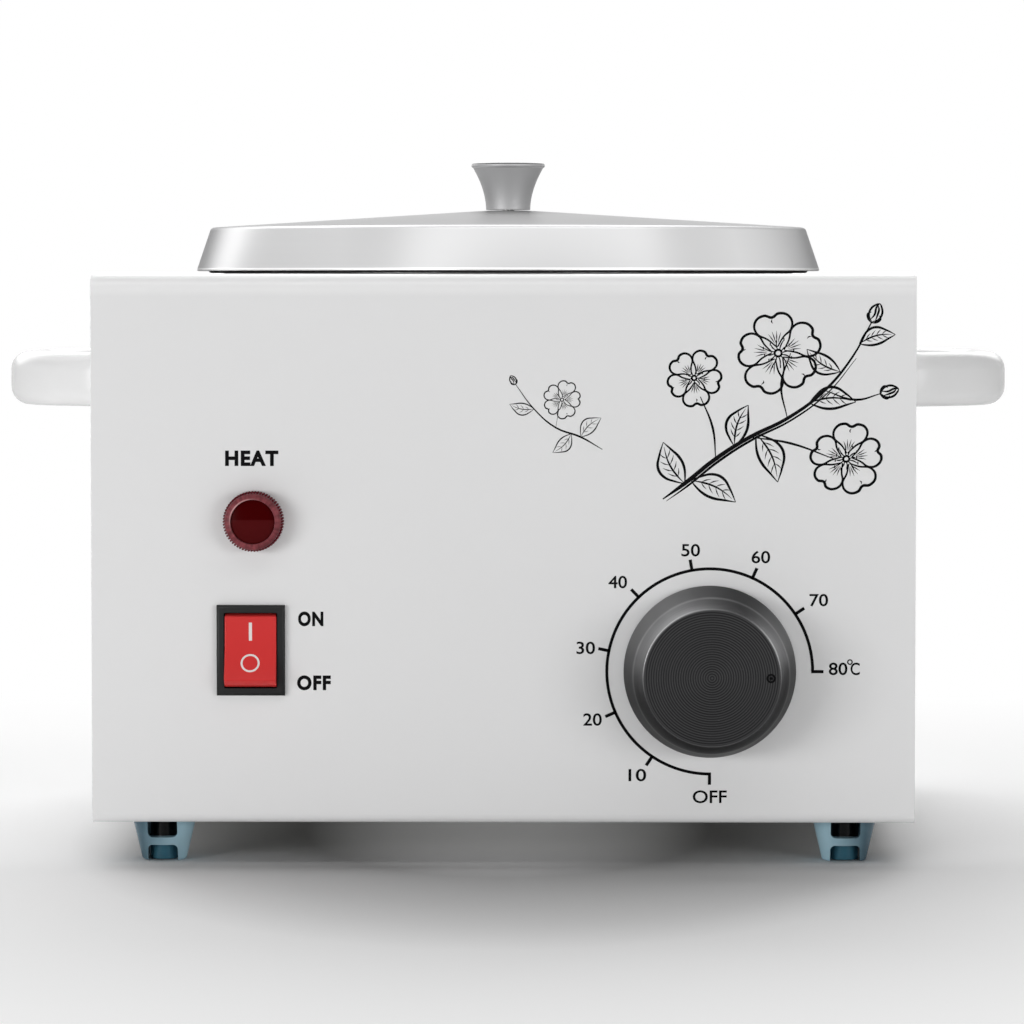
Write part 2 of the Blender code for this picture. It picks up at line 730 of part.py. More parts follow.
def lid_height(radius):
    rim = POT_RADIUS - POT_WALL + POT_RIM_RADIUS
    seat = pot_top + LID_REST + LID_SHEET / cos(lid_slope())
    return seat + (rim - radius) * lid_slope()


def lid_cover():
    edge = well_top + LID_CLEARANCE
    hole = MEDIUM_SCREW[2] + GAP
    corners = [(hole, lid_height(KNOB_BASE_RADIUS)),
               (KNOB_BASE_RADIUS, lid_height(KNOB_BASE_RADIUS)),
               (LID_SHOULDER_RADIUS, lid_height(LID_SHOULDER_RADIUS)),
               (LID_RADIUS - LID_HEM, edge + LID_HEM_HEIGHT + LID_HEM),
               (LID_RADIUS, edge + LID_HEM_HEIGHT), (LID_RADIUS, edge)]
    profile = rounded_profile(corners, [0, LID_SHOULDER_BEND, 0, 0])
    lid = turned("lid_cover", profile, "satin_aluminium", LARGE_STEPS, (0, middle_y, 0))
    return thicken(lid, LID_SHEET, -1)


# A knob that flares from its base to a rounded rim under a shallow dome.
def lid_knob():
    neck = KNOB_HEIGHT - KNOB_DOME - KNOB_RIM_THICKNESS
    profile = [(0, KNOB_HEIGHT), (KNOB_RIM_RADIUS * 0.55, KNOB_HEIGHT - KNOB_DOME * 0.35),
               (KNOB_RIM_RADIUS - KNOB_RIM_ROUND, KNOB_HEIGHT - KNOB_DOME),
               (KNOB_RIM_RADIUS, KNOB_HEIGHT - KNOB_DOME - KNOB_RIM_ROUND)]
    for i in range(6):
        drop = i / 5
        radius = KNOB_BASE_RADIUS + (KNOB_RIM_RADIUS - KNOB_BASE_RADIUS) * (1 - drop) ** 2
        profile.append((radius, neck * (1 - drop)))
    bore_radius = MEDIUM_SCREW[2] + GAP
    profile += [(bore_radius, 0), (bore_radius, KNOB_BORE_DEPTH), (0, KNOB_BORE_DEPTH)]
    seat = lid_height(KNOB_BASE_RADIUS) + GAP
    knob = turned("lid_knob", profile, "satin_aluminium", MIDDLE_STEPS, (0, middle_y, seat))
    under = lid_height(KNOB_BASE_RADIUS) - LID_SHEET - GAP
    fastener("lid_screw", MEDIUM_SCREW, LID_SHEET + KNOB_BORE_DEPTH - LID_SCREW_CLEARANCE,
             (0, middle_y, under), DOWN)
    return knob


# A closed ring about the well's axis, from one height to another.
def ring(name, inner, outer, low, high, finish):
    profile = [(outer, high), (outer, low), (inner, low), (inner, high)]
    return turned(name, profile, finish, LARGE_STEPS, (0, middle_y, 0), closed=True)


def heater():
    inner = well_outer + GAP
    outer = inner + BAND_THICKNESS
    high = case_top - BAND_DROP
    low = high - BAND_HEIGHT
    centre_z = (low + high) / 2
    ear_y = middle_y + outer + BAND_EAR / 2 - BAND_THICKNESS / 2
    band = ring("heater_band", inner, outer, low, high, "zinc_plate")
    for side in (-1, 1):
        add_block(band, (BAND_THICKNESS, BAND_EAR, BAND_HEIGHT / 3),
                  (side * (BAND_SPLIT + BAND_THICKNESS) / 2, ear_y, centre_z))
    slot(band, (BAND_SPLIT, BAND_EAR * 4, BAND_HEIGHT * 2), (0, ear_y, centre_z))
    screw_y = ear_y + BAND_THICKNESS / 2
    bore(band, MEDIUM_SCREW[2] + GAP, BAND_SPLIT * 4, (0, screw_y, centre_z), RIGHT)
    fastener("band_screw", MEDIUM_SCREW, BAND_SPLIT + 2 * BAND_THICKNESS + BAND_SCREW_REACH,
             (BAND_SPLIT / 2 + BAND_THICKNESS + GAP, screw_y, centre_z), RIGHT)
    wrap_inner = outer + GAP
    wool = ring("insulation_wrap", wrap_inner, wrap_inner + INSULATION_THICKNESS,
                low - INSULATION_MARGIN, high + INSULATION_MARGIN, "glass_wool")
    slot(wool, (INSULATION_SLOT, BAND_EAR * 4, BAND_HEIGHT * 2), (0, ear_y, centre_z))


# The dial is a hollow skirt with a hub; at rest its mark is at three o'clock.
def dial():
    top = DIAL_HEIGHT
    under = top - 2 * DIAL_WALL
    profile = [(0, top), (DIAL_FACE_RADIUS, top),
               ((DIAL_FACE_RADIUS + DIAL_CREST_RADIUS) / 2 + DIAL_SHOULDER_SWELL,
                top - DIAL_SHOULDER_DROP),
               (DIAL_CREST_RADIUS, DIAL_CREST_HEIGHT), (DIAL_BASE_RADIUS, 0),
               (DIAL_BASE_RADIUS - DIAL_WALL, 0),
               (DIAL_CREST_RADIUS - DIAL_WALL, DIAL_CREST_HEIGHT),
               (DIAL_FACE_RADIUS - DIAL_WALL, under), (DIAL_HUB_RADIUS, under),
               (DIAL_HUB_RADIUS, DIAL_HUB_RECESS), (SHAFT_RADIUS + GAP, DIAL_HUB_RECESS),
               (SHAFT_RADIUS + GAP, under), (0, under)]
    seat_y = front_y - DIAL_STANDOFF
    knob = turned("dial_knob", profile, "graphite_plastic", MIDDLE_STEPS,
                  (dial_x, seat_y, dial_z), FRONT)
    bore(knob, DIAL_MARK_RADIUS, DIAL_WALL / 2,
         (dial_x + DIAL_MARK_OFFSET, front_y - dial_front, dial_z), FRONT)
    shaft_start = inner_front_y + SHAFT_INSERTION
    shaft_end = seat_y - under + GAP
    round_bar("thermostat_shaft", SHAFT_RADIUS, shaft_start - shaft_end, "zinc_plate",
              (dial_x, (shaft_start + shaft_end) / 2, dial_z), FRONT)


def thermostat():
    face = inner_front_y + GAP
    centre = (dial_x, face + THERMOSTAT_DEPTH / 2, dial_z)
    body = block("thermostat_body", (THERMOSTAT_WIDTH, THERMOSTAT_DEPTH, THERMOSTAT_HEIGHT),
                 "ceramic", centre, THERMOSTAT_CHAMFER)
    bore(body, SHAFT_RADIUS + GAP, 2 * SHAFT_BORE_DEPTH, (dial_x, face, dial_z), FRONT)
    for side, side_name in ((-1, "left"), (1, "right")):
        x = dial_x + side * THERMOSTAT_SCREW_OFFSET
        bore(body, MEDIUM_SCREW[2] + GAP, 2 * THERMOSTAT_SCREW_BORE, (x, face, dial_z), FRONT)
        fastener("thermostat_screw_" + side_name, MEDIUM_SCREW,
                 CASE_SHEET + THERMOSTAT_SCREW_REACH, (x, front_y - GAP, dial_z), FRONT)


# The sensing bulb lies in a clip under the well's floor, with its tube to the thermostat.
def sensing_bulb():
    clip_top = well_under - GAP
    bulb_z = clip_top - CLIP_SHEET - GAP - BULB_RADIUS
    bulb = round_bar("thermostat_bulb", BULB_RADIUS, BULB_LENGTH, "copper",
                     (0, middle_y, bulb_z), RIGHT)
    outer = BULB_RADIUS + GAP + CLIP_SHEET
    drop = 2 * BULB_RADIUS + 2 * GAP + CLIP_SHEET
    clip = block("bulb_clip", (CLIP_WIDTH, 2 * outer, drop + CLIP_SHEET), "zinc_plate",
                 (0, middle_y, clip_top - (drop + CLIP_SHEET) / 2))
    slot(clip, (CLIP_WIDTH * 2, 2 * (BULB_RADIUS + GAP), drop + CLIP_SHEET),
         (0, middle_y, clip_top - CLIP_SHEET - (drop + CLIP_SHEET) / 2))
    end_x = BULB_LENGTH / 2 + GAP
    thermostat_back = inner_front_y + GAP + THERMOSTAT_DEPTH
    tube("capillary_tube", "copper", CAPILLARY_RADIUS,
         [(end_x, middle_y, bulb_z),
          (end_x + CAPILLARY_LEAD, middle_y, bulb_z - CAPILLARY_DIP),
          (dial_x, middle_y - CAPILLARY_SWEEP, bulb_z - CAPILLARY_DROP),
          (dial_x, thermostat_back + CAPILLARY_STANDOFF, dial_z),
          (dial_x, thermostat_back + GAP, dial_z)])


# A round wire or tube along a smooth curve through the points.
def tube(name, finish, radius, points):
    data = bpy.data.curves.new(name, 'CURVE')
    data.dimensions = '3D'
    data.bevel_depth = radius
    data.bevel_resolution = 1
    data.use_fill_caps = True
    data.resolution_u = WIRE_STEPS
    data.render_resolution_u = WIRE_STEPS
    line = data.splines.new('BEZIER')
    line.bezier_points.add(len(points) - 1)
    for target, point in zip(line.bezier_points, points):
        target.co = point
        target.handle_left_type = 'AUTO'
        target.handle_right_type = 'AUTO'
    return place(name, data, finish)


def rocker_outline():
    tilt = radians(ROCKER_THROW / 2)
    face = ROCKER_VALLEY + ROCKER_FACE_REACH * tan(tilt)
    half = [(-ROCKER_VALLEY, 0), (-face, ROCKER_FACE_REACH),
            (-ROCKER_BACK + ROCKER_END_STEP, ROCKER_HALF_HEIGHT)]
    start = pi / 2 - ROCKER_BACK / rocker_radius
    for i in range(1, 4):
        angle = start + (pi / 2 - start) * 2 * i / 3
        half.append((-rocker_radius * cos(angle), rocker_radius * sin(angle)))
    return half + [(y, -z) for y, z in reversed(half[1:])]


def rocker_switch():
    pivot_y = front_y - GAP - BEZEL_THICKNESS - ROCKER_PROUD
    pivot_y += ROCKER_VALLEY * cos(radians(ROCKER_THROW / 2))
    pivot = (switch_x, pivot_y, switch_z)
    bezel_y = front_y - GAP - BEZEL_THICKNESS / 2
    bezel = block("switch_bezel", (BEZEL_WIDTH, BEZEL_THICKNESS, BEZEL_HEIGHT), "black_plastic",
                  (switch_x, bezel_y, switch_z), BEZEL_CHAMFER)
    body_start = bezel_y
    body_end = front_y + SWITCH_BODY_DEPTH
    add_block(bezel, (switch_body_width(), body_end - body_start, switch_body_height()),
              (switch_x, (body_start + body_end) / 2, switch_z))
    opening = (ROCKER_WIDTH + 2 * GAP, SWITCH_BODY_DEPTH, 2 * (rocker_radius + GAP))
    slot(bezel, opening,
         (switch_x, pivot_y + ROCKER_WELL_DEPTH - SWITCH_BODY_DEPTH / 2, switch_z))
    wall = (switch_body_width() - ROCKER_WIDTH) / 2 - GAP
    pin_length = ROCKER_WIDTH + 2 * GAP + wall
    bore(bezel, PIVOT_RADIUS + GAP, pin_length + 2 * GAP, pivot, RIGHT)
    rocker = prism("switch_rocker", rocker_outline(), ROCKER_WIDTH, "red_plastic", pivot,
                   (-radians(ROCKER_THROW / 2), 0, 0))
    pin = round_bar("rocker_pin", PIVOT_RADIUS, pin_length, None, pivot, RIGHT)
    combine(rocker, pin, 'UNION')
    for side, side_name in ((-1, "live"), (1, "neutral")):
        block("switch_terminal_" + side_name,
              (TERMINAL_WIDTH, TERMINAL_LENGTH, TERMINAL_THICKNESS), "brass",
              (switch_x, body_end + GAP + TERMINAL_LENGTH / 2,
               switch_z + side * TERMINAL_SPACING))


# The lens is a turned cap with a toothed rim and a sunk flat face, over the lamp's nose.
def pilot_lamp():
    height = LENS_HEIGHT
    profile = [(0, height - LENS_FACE_RECESS), (LENS_FACE_RADIUS, height - LENS_FACE_RECESS),
               (LENS_FACE_RADIUS, height),
               (LENS_RADIUS - LENS_TOOTH - LENS_RIM_CHAMFER, height),
               (LENS_RADIUS - LENS_TOOTH, height - LENS_RIM_CHAMFER),
               (LENS_RADIUS - LENS_TOOTH, 0),
               (LAMP_BODY_RADIUS + GAP, 0), (LAMP_BODY_RADIUS + GAP, LAMP_NOSE + GAP),
               (0, LAMP_NOSE + GAP)]
    lens = turned("lamp_lens", profile, "lamp_red", LENS_TEETH, (lamp_x, front_y - GAP, lamp_z),
                  FRONT)
    combine(lens, toothed_ring(), 'UNION')
    nose = front_y - GAP - LAMP_NOSE
    tail = front_y + LAMP_BODY_LENGTH
    round_bar("lamp_body", LAMP_BODY_RADIUS, tail - nose, "black_plastic",
              (lamp_x, (nose + tail) / 2, lamp_z), FRONT, SMALL_STEPS * 2)
    bm = bmesh.new()
    bmesh.ops.create_cone(bm, cap_ends=True, segments=6, radius1=NUT_FLATS / sqrt(3),
                          radius2=NUT_FLATS / sqrt(3), depth=NUT_THICKNESS)
    nut = place("lamp_nut", mesh_from("lamp_nut", bm, smooth=False), "black_plastic",
                (lamp_x, inner_front_y + GAP + NUT_THICKNESS / 2, lamp_z), FRONT)
    bore(nut, LAMP_BODY_RADIUS + GAP, NUT_THICKNESS * 3,
         (lamp_x, inner_front_y + NUT_THICKNESS, lamp_z), FRONT, SMALL_STEPS * 2)


# The lens's teeth: a ring whose outer corners stand out by turns.
def toothed_ring():
    inner = LENS_RADIUS - LENS_TOOTH_ROOT
    length = LENS_TOOTH_LENGTH
    bm = bmesh.new()
    bmesh.ops.create_cone(bm, cap_ends=True, segments=LENS_TEETH * 2, radius1=LENS_RADIUS,
                          radius2=LENS_RADIUS, depth=length)
    for i, vert in enumerate(bm.verts):
        if (i // 2) % 2:
            vert.co.xy *= 1 - 2 * LENS_TOOTH / LENS_RADIUS
    centre_y = front_y - GAP - LENS_TOOTH_START - length / 2
    ring_item = place("lens_teeth", mesh_from("lens_teeth", bm, smooth=False), None,
                      (lamp_x, centre_y, lamp_z), FRONT)
    return bore(ring_item, inner, length * 2, (lamp_x, centre_y, lamp_z), FRONT, LENS_TEETH)


def appliance_inlet():
    face = back_y + inlet_back
    inner_end = back_y - INLET_BODY_DEPTH
    inlet = block("inlet_socket",
                  (INLET_FLANGE_WIDTH, INLET_FLANGE_THICKNESS, INLET_FLANGE_HEIGHT),
                  "black_plastic", (inlet_x, face - INLET_FLANGE_THICKNESS / 2, inlet_z),
                  INLET_CHAMFER)
    start = face - INLET_FLANGE_THICKNESS / 2
    add_block(inlet, (INLET_BODY_WIDTH, start - inner_end, INLET_BODY_HEIGHT),
              (inlet_x, (start + inner_end) / 2, inlet_z))
    depth = face - inner_end - INLET_FLOOR
    width = INLET_BODY_WIDTH - 2 * INLET_WALL
    height = INLET_BODY_HEIGHT - 2 * INLET_WALL
    corner = INLET_CORNER
    outline = [(-height / 2, -width / 2), (height / 2 - corner, -width / 2),
               (height / 2, -width / 2 + corner), (height / 2, width / 2 - corner),
               (height / 2 - corner, width / 2), (-height / 2, width / 2)]
    outline = [(across, up) for up, across in outline]
    cavity = prism("inlet_cavity", outline, 2 * depth, None, (inlet_x, face, inlet_z),
                   (0, 0, pi / 2))
    combine(inlet, cavity)
    pins = (("live", -1, -1), ("neutral", 1, -1), ("earth", 0, 1))
    tail = inner_end - PIN_TAIL
    tip = inner_end + INLET_FLOOR + PIN_LENGTH
    for name, across, up in pins:
        x = inlet_x + across * PIN_SPACING
        z = inlet_z + up * PIN_OFFSET
        slot(inlet, (PIN_WIDTH + 2 * GAP, INLET_FLOOR * 3, PIN_HEIGHT + 2 * GAP),
             (x, inner_end, z))
        block("inlet_pin_" + name, (PIN_WIDTH, tip - tail, PIN_HEIGHT), "brass",
              (x, (tip + tail) / 2, z), PIN_CHAMFER)
    for side, side_name in ((-1, "left"), (1, "right")):
        x = inlet_x + side * INLET_SCREW_OFFSET
        bore(inlet, SMALL_SCREW[2] + GAP, INLET_FLANGE_THICKNESS * 3, (x, back_y, inlet_z), BACK)
        bore(inlet, SMALL_SCREW[0] + GAP, 2 * (SMALL_SCREW[1] + GAP), (x, face, inlet_z), BACK)
        fastener("inlet_screw_" + side_name, SMALL_SCREW, INLET_SCREW_LENGTH,
                 (x, face - SMALL_SCREW[1], inlet_z), BACK)


def base_electrics():
    block_z = base_top + GAP + BLOCK_HEIGHT / 2
    terminal = block("terminal_block", (BLOCK_LENGTH, BLOCK_WIDTH, BLOCK_HEIGHT), "ceramic",
                     (BLOCK_X, block_y, block_z), BLOCK_CHAMFER)
    pitch = BLOCK_LENGTH / BLOCK_WAYS
    for i in range(BLOCK_WAYS):
        x = BLOCK_X + (i - (BLOCK_WAYS - 1) / 2) * pitch
        bore(terminal, pitch * 0.3, BLOCK_HEIGHT, (x, block_y, block_z + BLOCK_HEIGHT / 2))
    stud_profile = [(0, STUD_HEIGHT), (STUD_RADIUS, STUD_HEIGHT),
                    (STUD_RADIUS, 2 * STUD_RADIUS), (2 * STUD_RADIUS, 2 * STUD_RADIUS),
                    (2 * STUD_RADIUS, 0), (STUD_RADIUS, 0),
                    (STUD_RADIUS, -CASE_SHEET - GAP), (0, -CASE_SHEET - GAP)]
    turned("earth_stud", stud_profile, "brass", SMALL_STEPS,
           (STUD_X, stud_y, base_top + GAP))
    round_bar("thermal_cutout", CUTOUT_RADIUS, CUTOUT_HEIGHT, "ceramic",
              (0, middle_y - CUTOUT_OFFSET, well_under - GAP - CUTOUT_HEIGHT / 2),
              steps=SMALL_STEPS * 2)


def wires():
    tail_y = back_y - INLET_BODY_DEPTH - PIN_TAIL - GAP - WIRE_RADIUS
    rise = base_top + WIRE_LIFT
    terminal_y = front_y + SWITCH_BODY_DEPTH + GAP + TERMINAL_LENGTH + WIRE_RADIUS
    live_x = inlet_x - PIN_SPACING
    tube("wire_live", "wire_brown", WIRE_RADIUS,
         [(live_x, tail_y, inlet_z - PIN_OFFSET),
          (live_x - WIRE_SHORT_LEAD, tail_y - WIRE_LEAD, inlet_z), (-foot_x, middle_y, rise),
          (switch_x, terminal_y + WIRE_LONG_LEAD, switch_z - WIRE_SPREAD),
          (switch_x, terminal_y, switch_z - TERMINAL_SPACING)])
    stud_side = STUD_X - 2 * STUD_RADIUS - WIRE_RADIUS
    tube("wire_earth", "wire_yellow", WIRE_RADIUS,
         [(inlet_x, tail_y, inlet_z + PIN_OFFSET),
          (inlet_x + WIRE_DROP, tail_y - WIRE_SHORT_LEAD, inlet_z),
          (stud_side - WIRE_DROP, stud_y - WIRE_SHORT_LEAD, rise),
          (stud_side, stud_y, base_top + STUD_RADIUS)])
    thermostat_back = inner_front_y + GAP + THERMOSTAT_DEPTH + WIRE_RADIUS
    tab_z = dial_z - WIRE_DROP
    crossing_z = (base_top + well_under) / 2
    tube("wire_switched", "wire_brown", WIRE_RADIUS,
         [(switch_x, terminal_y, switch_z + TERMINAL_SPACING),
          (switch_x + WIRE_SPREAD, terminal_y + WIRE_LEAD, crossing_z + WIRE_DROP),
          (0, middle_y - WIRE_CROSSING, crossing_z),
          (dial_x - WIRE_SPREAD - WIRE_RADIUS, thermostat_back + WIRE_SHORT_LEAD, tab_z),
          (dial_x - WIRE_SPREAD, thermostat_back, tab_z)])
    block_front = block_y - BLOCK_WIDTH / 2 - WIRE_RADIUS
    way_x = BLOCK_X + BLOCK_LENGTH / BLOCK_WAYS / 2
    tube("wire_return", "wire_blue", WIRE_RADIUS,
         [(dial_x + WIRE_SPREAD, thermostat_back, tab_z),
          (dial_x + WIRE_SPREAD, thermostat_back + WIRE_LEAD, tab_z - WIRE_DROP),
          (dial_x - WIRE_SHORT_LEAD, middle_y, rise),
          (way_x, block_front - WIRE_LONG_LEAD, rise),
          (way_x, block_front, base_top + GAP + BLOCK_HEIGHT / 2)])


def main():
    body_wrap()
    side_panel("side_panel_left", -1)
    side_panel("side_panel_right", 1)
    base_plate()
    feet()
    handle("handle_left", -1)
    handle("handle_right", 1)
    handle_screws()
    panel_screws()
    heating_well()
    wax_pot()
    lid_cover()
    lid_knob()
    heater()
    dial()
    thermostat()
    sensing_bulb()
    rocker_switch()
    pilot_lamp()
    appliance_inlet()
    base_electrics()
    wires()


main()
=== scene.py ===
# Paraffin wax bath: the finish of every surface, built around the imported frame.
import json
from math import cos, pi, radians, sin, sqrt, tan

import bmesh
import bpy
from mathutils import Matrix, Vector


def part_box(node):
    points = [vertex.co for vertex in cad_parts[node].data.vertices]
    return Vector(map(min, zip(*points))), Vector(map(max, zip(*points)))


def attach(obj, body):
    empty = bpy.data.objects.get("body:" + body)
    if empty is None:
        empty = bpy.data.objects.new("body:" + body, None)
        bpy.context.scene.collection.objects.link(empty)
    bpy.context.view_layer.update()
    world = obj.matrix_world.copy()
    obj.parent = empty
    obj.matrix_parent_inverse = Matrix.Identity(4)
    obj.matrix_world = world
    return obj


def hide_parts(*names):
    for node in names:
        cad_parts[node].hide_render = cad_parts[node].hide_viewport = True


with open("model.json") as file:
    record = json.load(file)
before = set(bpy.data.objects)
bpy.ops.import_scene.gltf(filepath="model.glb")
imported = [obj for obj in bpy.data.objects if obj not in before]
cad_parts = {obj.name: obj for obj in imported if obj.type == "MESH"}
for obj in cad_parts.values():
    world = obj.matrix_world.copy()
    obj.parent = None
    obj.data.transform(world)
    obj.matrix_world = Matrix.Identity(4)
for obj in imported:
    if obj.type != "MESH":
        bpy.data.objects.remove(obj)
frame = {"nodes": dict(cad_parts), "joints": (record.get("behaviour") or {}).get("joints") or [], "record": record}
nodes = frame["nodes"]
joints = {joint["name"]: joint for joint in frame["joints"]}
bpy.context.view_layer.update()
print("frame loaded:", len(nodes), "nodes")


# A piece's settings: a dictionary whose keys also read as names.
class Settings(dict):
    __getattr__ = dict.__getitem__


# A socket whose operators add Math nodes, so that shader maths reads as an expression.
class Sock:
    def __init__(self, shader, socket):
        self.shader = shader
        self.socket = socket

    def maths(self, operation, first, second=0.0):
        return self.shader.node("ShaderNodeMath", {"operation": operation}, {0: first, 1: second})

    def __add__(self, other):
        return self.maths('ADD', self, other)

    def __radd__(self, other):
        return self.maths('ADD', other, self)

    def __sub__(self, other):
        return self.maths('SUBTRACT', self, other)

    def __rsub__(self, other):
        return self.maths('SUBTRACT', other, self)

    def __mul__(self, other):
        return self.maths('MULTIPLY', self, other)

    def __rmul__(self, other):
        return self.maths('MULTIPLY', other, self)

    def __truediv__(self, other):
        return self.maths('DIVIDE', self, other)

    def __rtruediv__(self, other):
        return self.maths('DIVIDE', other, self)

    def clamp(self, low=0.0, high=1.0):
        return self.maths('MAXIMUM', self.maths('MINIMUM', self, high), low)

    def wave(self):
        return self.maths('SINE', self)

    def root(self):
        return self.maths('SQRT', self)

    def larger(self, other):
        return self.maths('MAXIMUM', self, other)

    def power(self, exponent):
        return self.maths('POWER', self, exponent)

    # One where the value is over, or under, a level, with a slope up to it.
    def above(self, level, slope):
        return ((self - level) * slope).clamp()

    def below(self, level, slope):
        return ((level - self) * slope).clamp()


# The nodes of one material, or of the world.
class Shader:
    def __init__(self, owner):
        self.owner = owner
        owner.use_nodes = True
        self.tree = owner.node_tree
        self.tree.nodes.clear()

    # Adds a node: its settings first, then the values or links of its sockets.
    def node(self, kind, settings=None, sockets=None, output=0):
        item = self.tree.nodes.new(kind)
        for key, value in (settings or {}).items():
            setattr(item, key, value)
        for key, value in (sockets or {}).items():
            socket = item.inputs[key]
            if isinstance(value, Sock):
                self.tree.links.new(value.socket, socket)
            else:
                wide = socket.type == 'RGBA' and len(value) == 3
                socket.default_value = (*value, 1.0) if wide else value
        return Sock(self, item.outputs[output]) if item.outputs else None

    # Object coordinates about a centre, in millimetres.
    def place(self, centre=(0, 0, 0)):
        return self.node("ShaderNodeMapping", {},
                         {"Vector": self.node("ShaderNodeTexCoord", output="Object"),
                          "Location": [-1000 * value for value in centre],
                          "Scale": (1000, 1000, 1000)})

    def split(self, vector):
        return [self.node("ShaderNodeSeparateXYZ", {}, {0: vector}, i) for i in range(3)]

    def join(self, x, y, z):
        return self.node("ShaderNodeCombineXYZ", {}, {0: x, 1: y, 2: z})

    # One towards an angle in the plane of two coordinates, falling away on both sides of it.
    def fan(self, across, along, angle, exponent):
        radius = (across * across + along * along).root() + 0.001
        toward = (across * cos(radians(angle)) + along * sin(radians(angle))) / radius
        return toward.clamp().power(exponent)

    # One in a thin ring about a radius, fading over its width.
    def hoop(self, radius, middle, width):
        away = radius - middle
        return (1 - (away * away).root() / width).clamp()

    def noise(self, vector, scale=1.0, detail=3.0, rough=0.5):
        return self.node("ShaderNodeTexNoise", {},
                         {"Vector": vector, "Scale": scale, "Detail": detail, "Roughness": rough})

    def blend(self, factor, first, second):
        return self.node("ShaderNodeMix", {"data_type": 'RGBA'}, {0: factor, 6: first, 7: second},
                         2)

    def mixed(self, factor, first, second):
        return self.node("ShaderNodeMixShader", {}, {0: factor, 1: first, 2: second})

    def bump(self, height, strength, distance):
        return self.node("ShaderNodeBump", {},
                         {"Height": height, "Strength": strength, "Distance": distance})

    # One where the ray comes from the camera, from gloss or through glass.
    def seenDirectly(self):
        ways = [self.node("ShaderNodeLightPath", output=name)
                for name in ("Is Camera Ray", "Is Glossy Ray", "Is Transmission Ray")]
        return (ways[0] + ways[1] + ways[2]).clamp()

    def surface(self, shader):
        world = isinstance(self.owner, bpy.types.World)
        self.node("ShaderNodeOutputWorld" if world else "ShaderNodeOutputMaterial", {},
                  {"Surface": shader})
        return self.owner

    def finish(self, **sockets):
        names = {key.replace("_", " "): value for key, value in sockets.items()}
        return self.surface(self.node("ShaderNodeBsdfPrincipled", {}, names))


def newShader(name):
    return Shader(bpy.data.materials.new(name))


finishes = {
    "whitePaint": {"colour": (0.86, 0.86, 0.862), "roughness": 0.26},
    # The white moulding's edge tone is a painted shade where its surface turns away.
    "whiteMoulding": {"colour": (0.97, 0.97, 0.97), "edge": (0.48, 0.48, 0.48), "roughness": 0.26},
    "spunAluminium": {"colour": (0.58, 0.58, 0.585), "roughness": 0.28},
    "lidAluminium": {"colour": (0.60, 0.60, 0.603), "roughness": 0.34},
    "turnedSteel": {"colour": (0.39, 0.39, 0.394), "roughness": 0.56},
    "graphite": {"colour": (0.026, 0.026, 0.028), "roughness": 0.34},
    # The foot rubber's outer and inner tones are painted light and shade; its seat and boss tones are painted
    # shade.
    "footRubber": {"colour": (0.24, 0.40, 0.48), "roughness": 0.24, "outer": (0.10, 0.18, 0.23),
                   "inner": (0.50, 0.74, 0.85), "seat": (0.001, 0.0015, 0.002),
                   "boss": (0.045, 0.15, 0.21)},
    # The lamp ring's edge tone is a painted highlight on its lip.
    "lampRing": {"colour": (0.200, 0.046, 0.054), "roughness": 0.34, "edge": (0.75, 0.42, 0.42)},
    "lampTooth": {"colour": (0.130, 0.012, 0.020), "roughness": 0.55},
    "lampFace": {"colour": (0.088, 0.0070, 0.008), "upper": (0.056, 0.0002, 0.0006),
                 "deep": (0.040, 0.0003, 0.0006), "roughness": 0.16},
    "switchBlack": {"colour": (0.013, 0.014, 0.014), "roughness": 0.40},
    "rockerRed": {"colour": (0.69, 0.034, 0.033), "roughness": 0.30},
    "markWhite": {"colour": (0.86, 0.80, 0.78), "roughness": 0.45},
    "ink": {"colour": (0.0025, 0.0025, 0.003), "roughness": 0.42},
    "zincPlate": {"colour": (0.66, 0.66, 0.64), "roughness": 0.34},
    "contactBrass": {"colour": (0.80, 0.66, 0.38), "roughness": 0.28},
    "copperTube": {"colour": (0.80, 0.46, 0.32), "roughness": 0.30},
    "glassFelt": {"colour": (0.74, 0.70, 0.55), "roughness": 0.95},
    "steatite": {"colour": (0.80, 0.78, 0.73), "roughness": 0.55},
    "mattBlack": {"colour": (0.018, 0.018, 0.019), "roughness": 0.42},
    "brownSleeve": {"colour": (0.16, 0.07, 0.04), "roughness": 0.45},
    "blueSleeve": {"colour": (0.04, 0.12, 0.42), "roughness": 0.45},
    "greenSleeve": {"colour": (0.50, 0.55, 0.05), "roughness": 0.45},
}


# A finish's colour a little below and a little above its middle tone.
def tones(finish, spread):
    colour = finishes[finish]["colour"]
    return [tuple(min(1.0, value * share) for value in colour)
            for share in (1 - spread, 1 + spread)]


# Tone and gloss that drift a little over a piece, as on any made surface.
def drift(shader, finish, spread=0.03, scale=0.02):
    cloud = shader.noise(shader.place(), scale, detail=2.0)
    low, high = tones(finish, spread)
    return shader.blend(cloud, low, high), cloud * 0.06 + (finishes[finish]["roughness"] - 0.03)


# The painted highlight over the front's top fold: the height where it starts, the height over which it grows,
# where it ends towards the back, how soon it fades there, and its colour.
paintedFoldHighlight = Settings(low=184.5, span=5.0, back=-104.0, fade=3.0, colour=(0.998, 0.998, 0.998))


# Sprayed gloss paint: level, with a faint orange peel, and a painted highlight over the
# front's top fold.
def paintedSheet():
    shader = newShader("whitePaint")
    look = paintedFoldHighlight
    colour, rough = drift(shader, "whitePaint", spread=0.008, scale=0.012)
    depth, height = shader.split(shader.place())[1:]
    foldHighlight = ((height - look.low) / look.span).clamp()
    foldHighlight = foldHighlight * ((look.back - depth) / look.fade).clamp()
    colour = shader.blend(foldHighlight, colour, look.colour)
    peel = shader.noise(shader.place(), scale=0.45, detail=2.0)
    return shader.finish(Base_Color=colour, Roughness=rough, Coat_Weight=0.4, Coat_Roughness=0.12,
                         Normal=shader.bump(peel, strength=0.25, distance=0.000016))
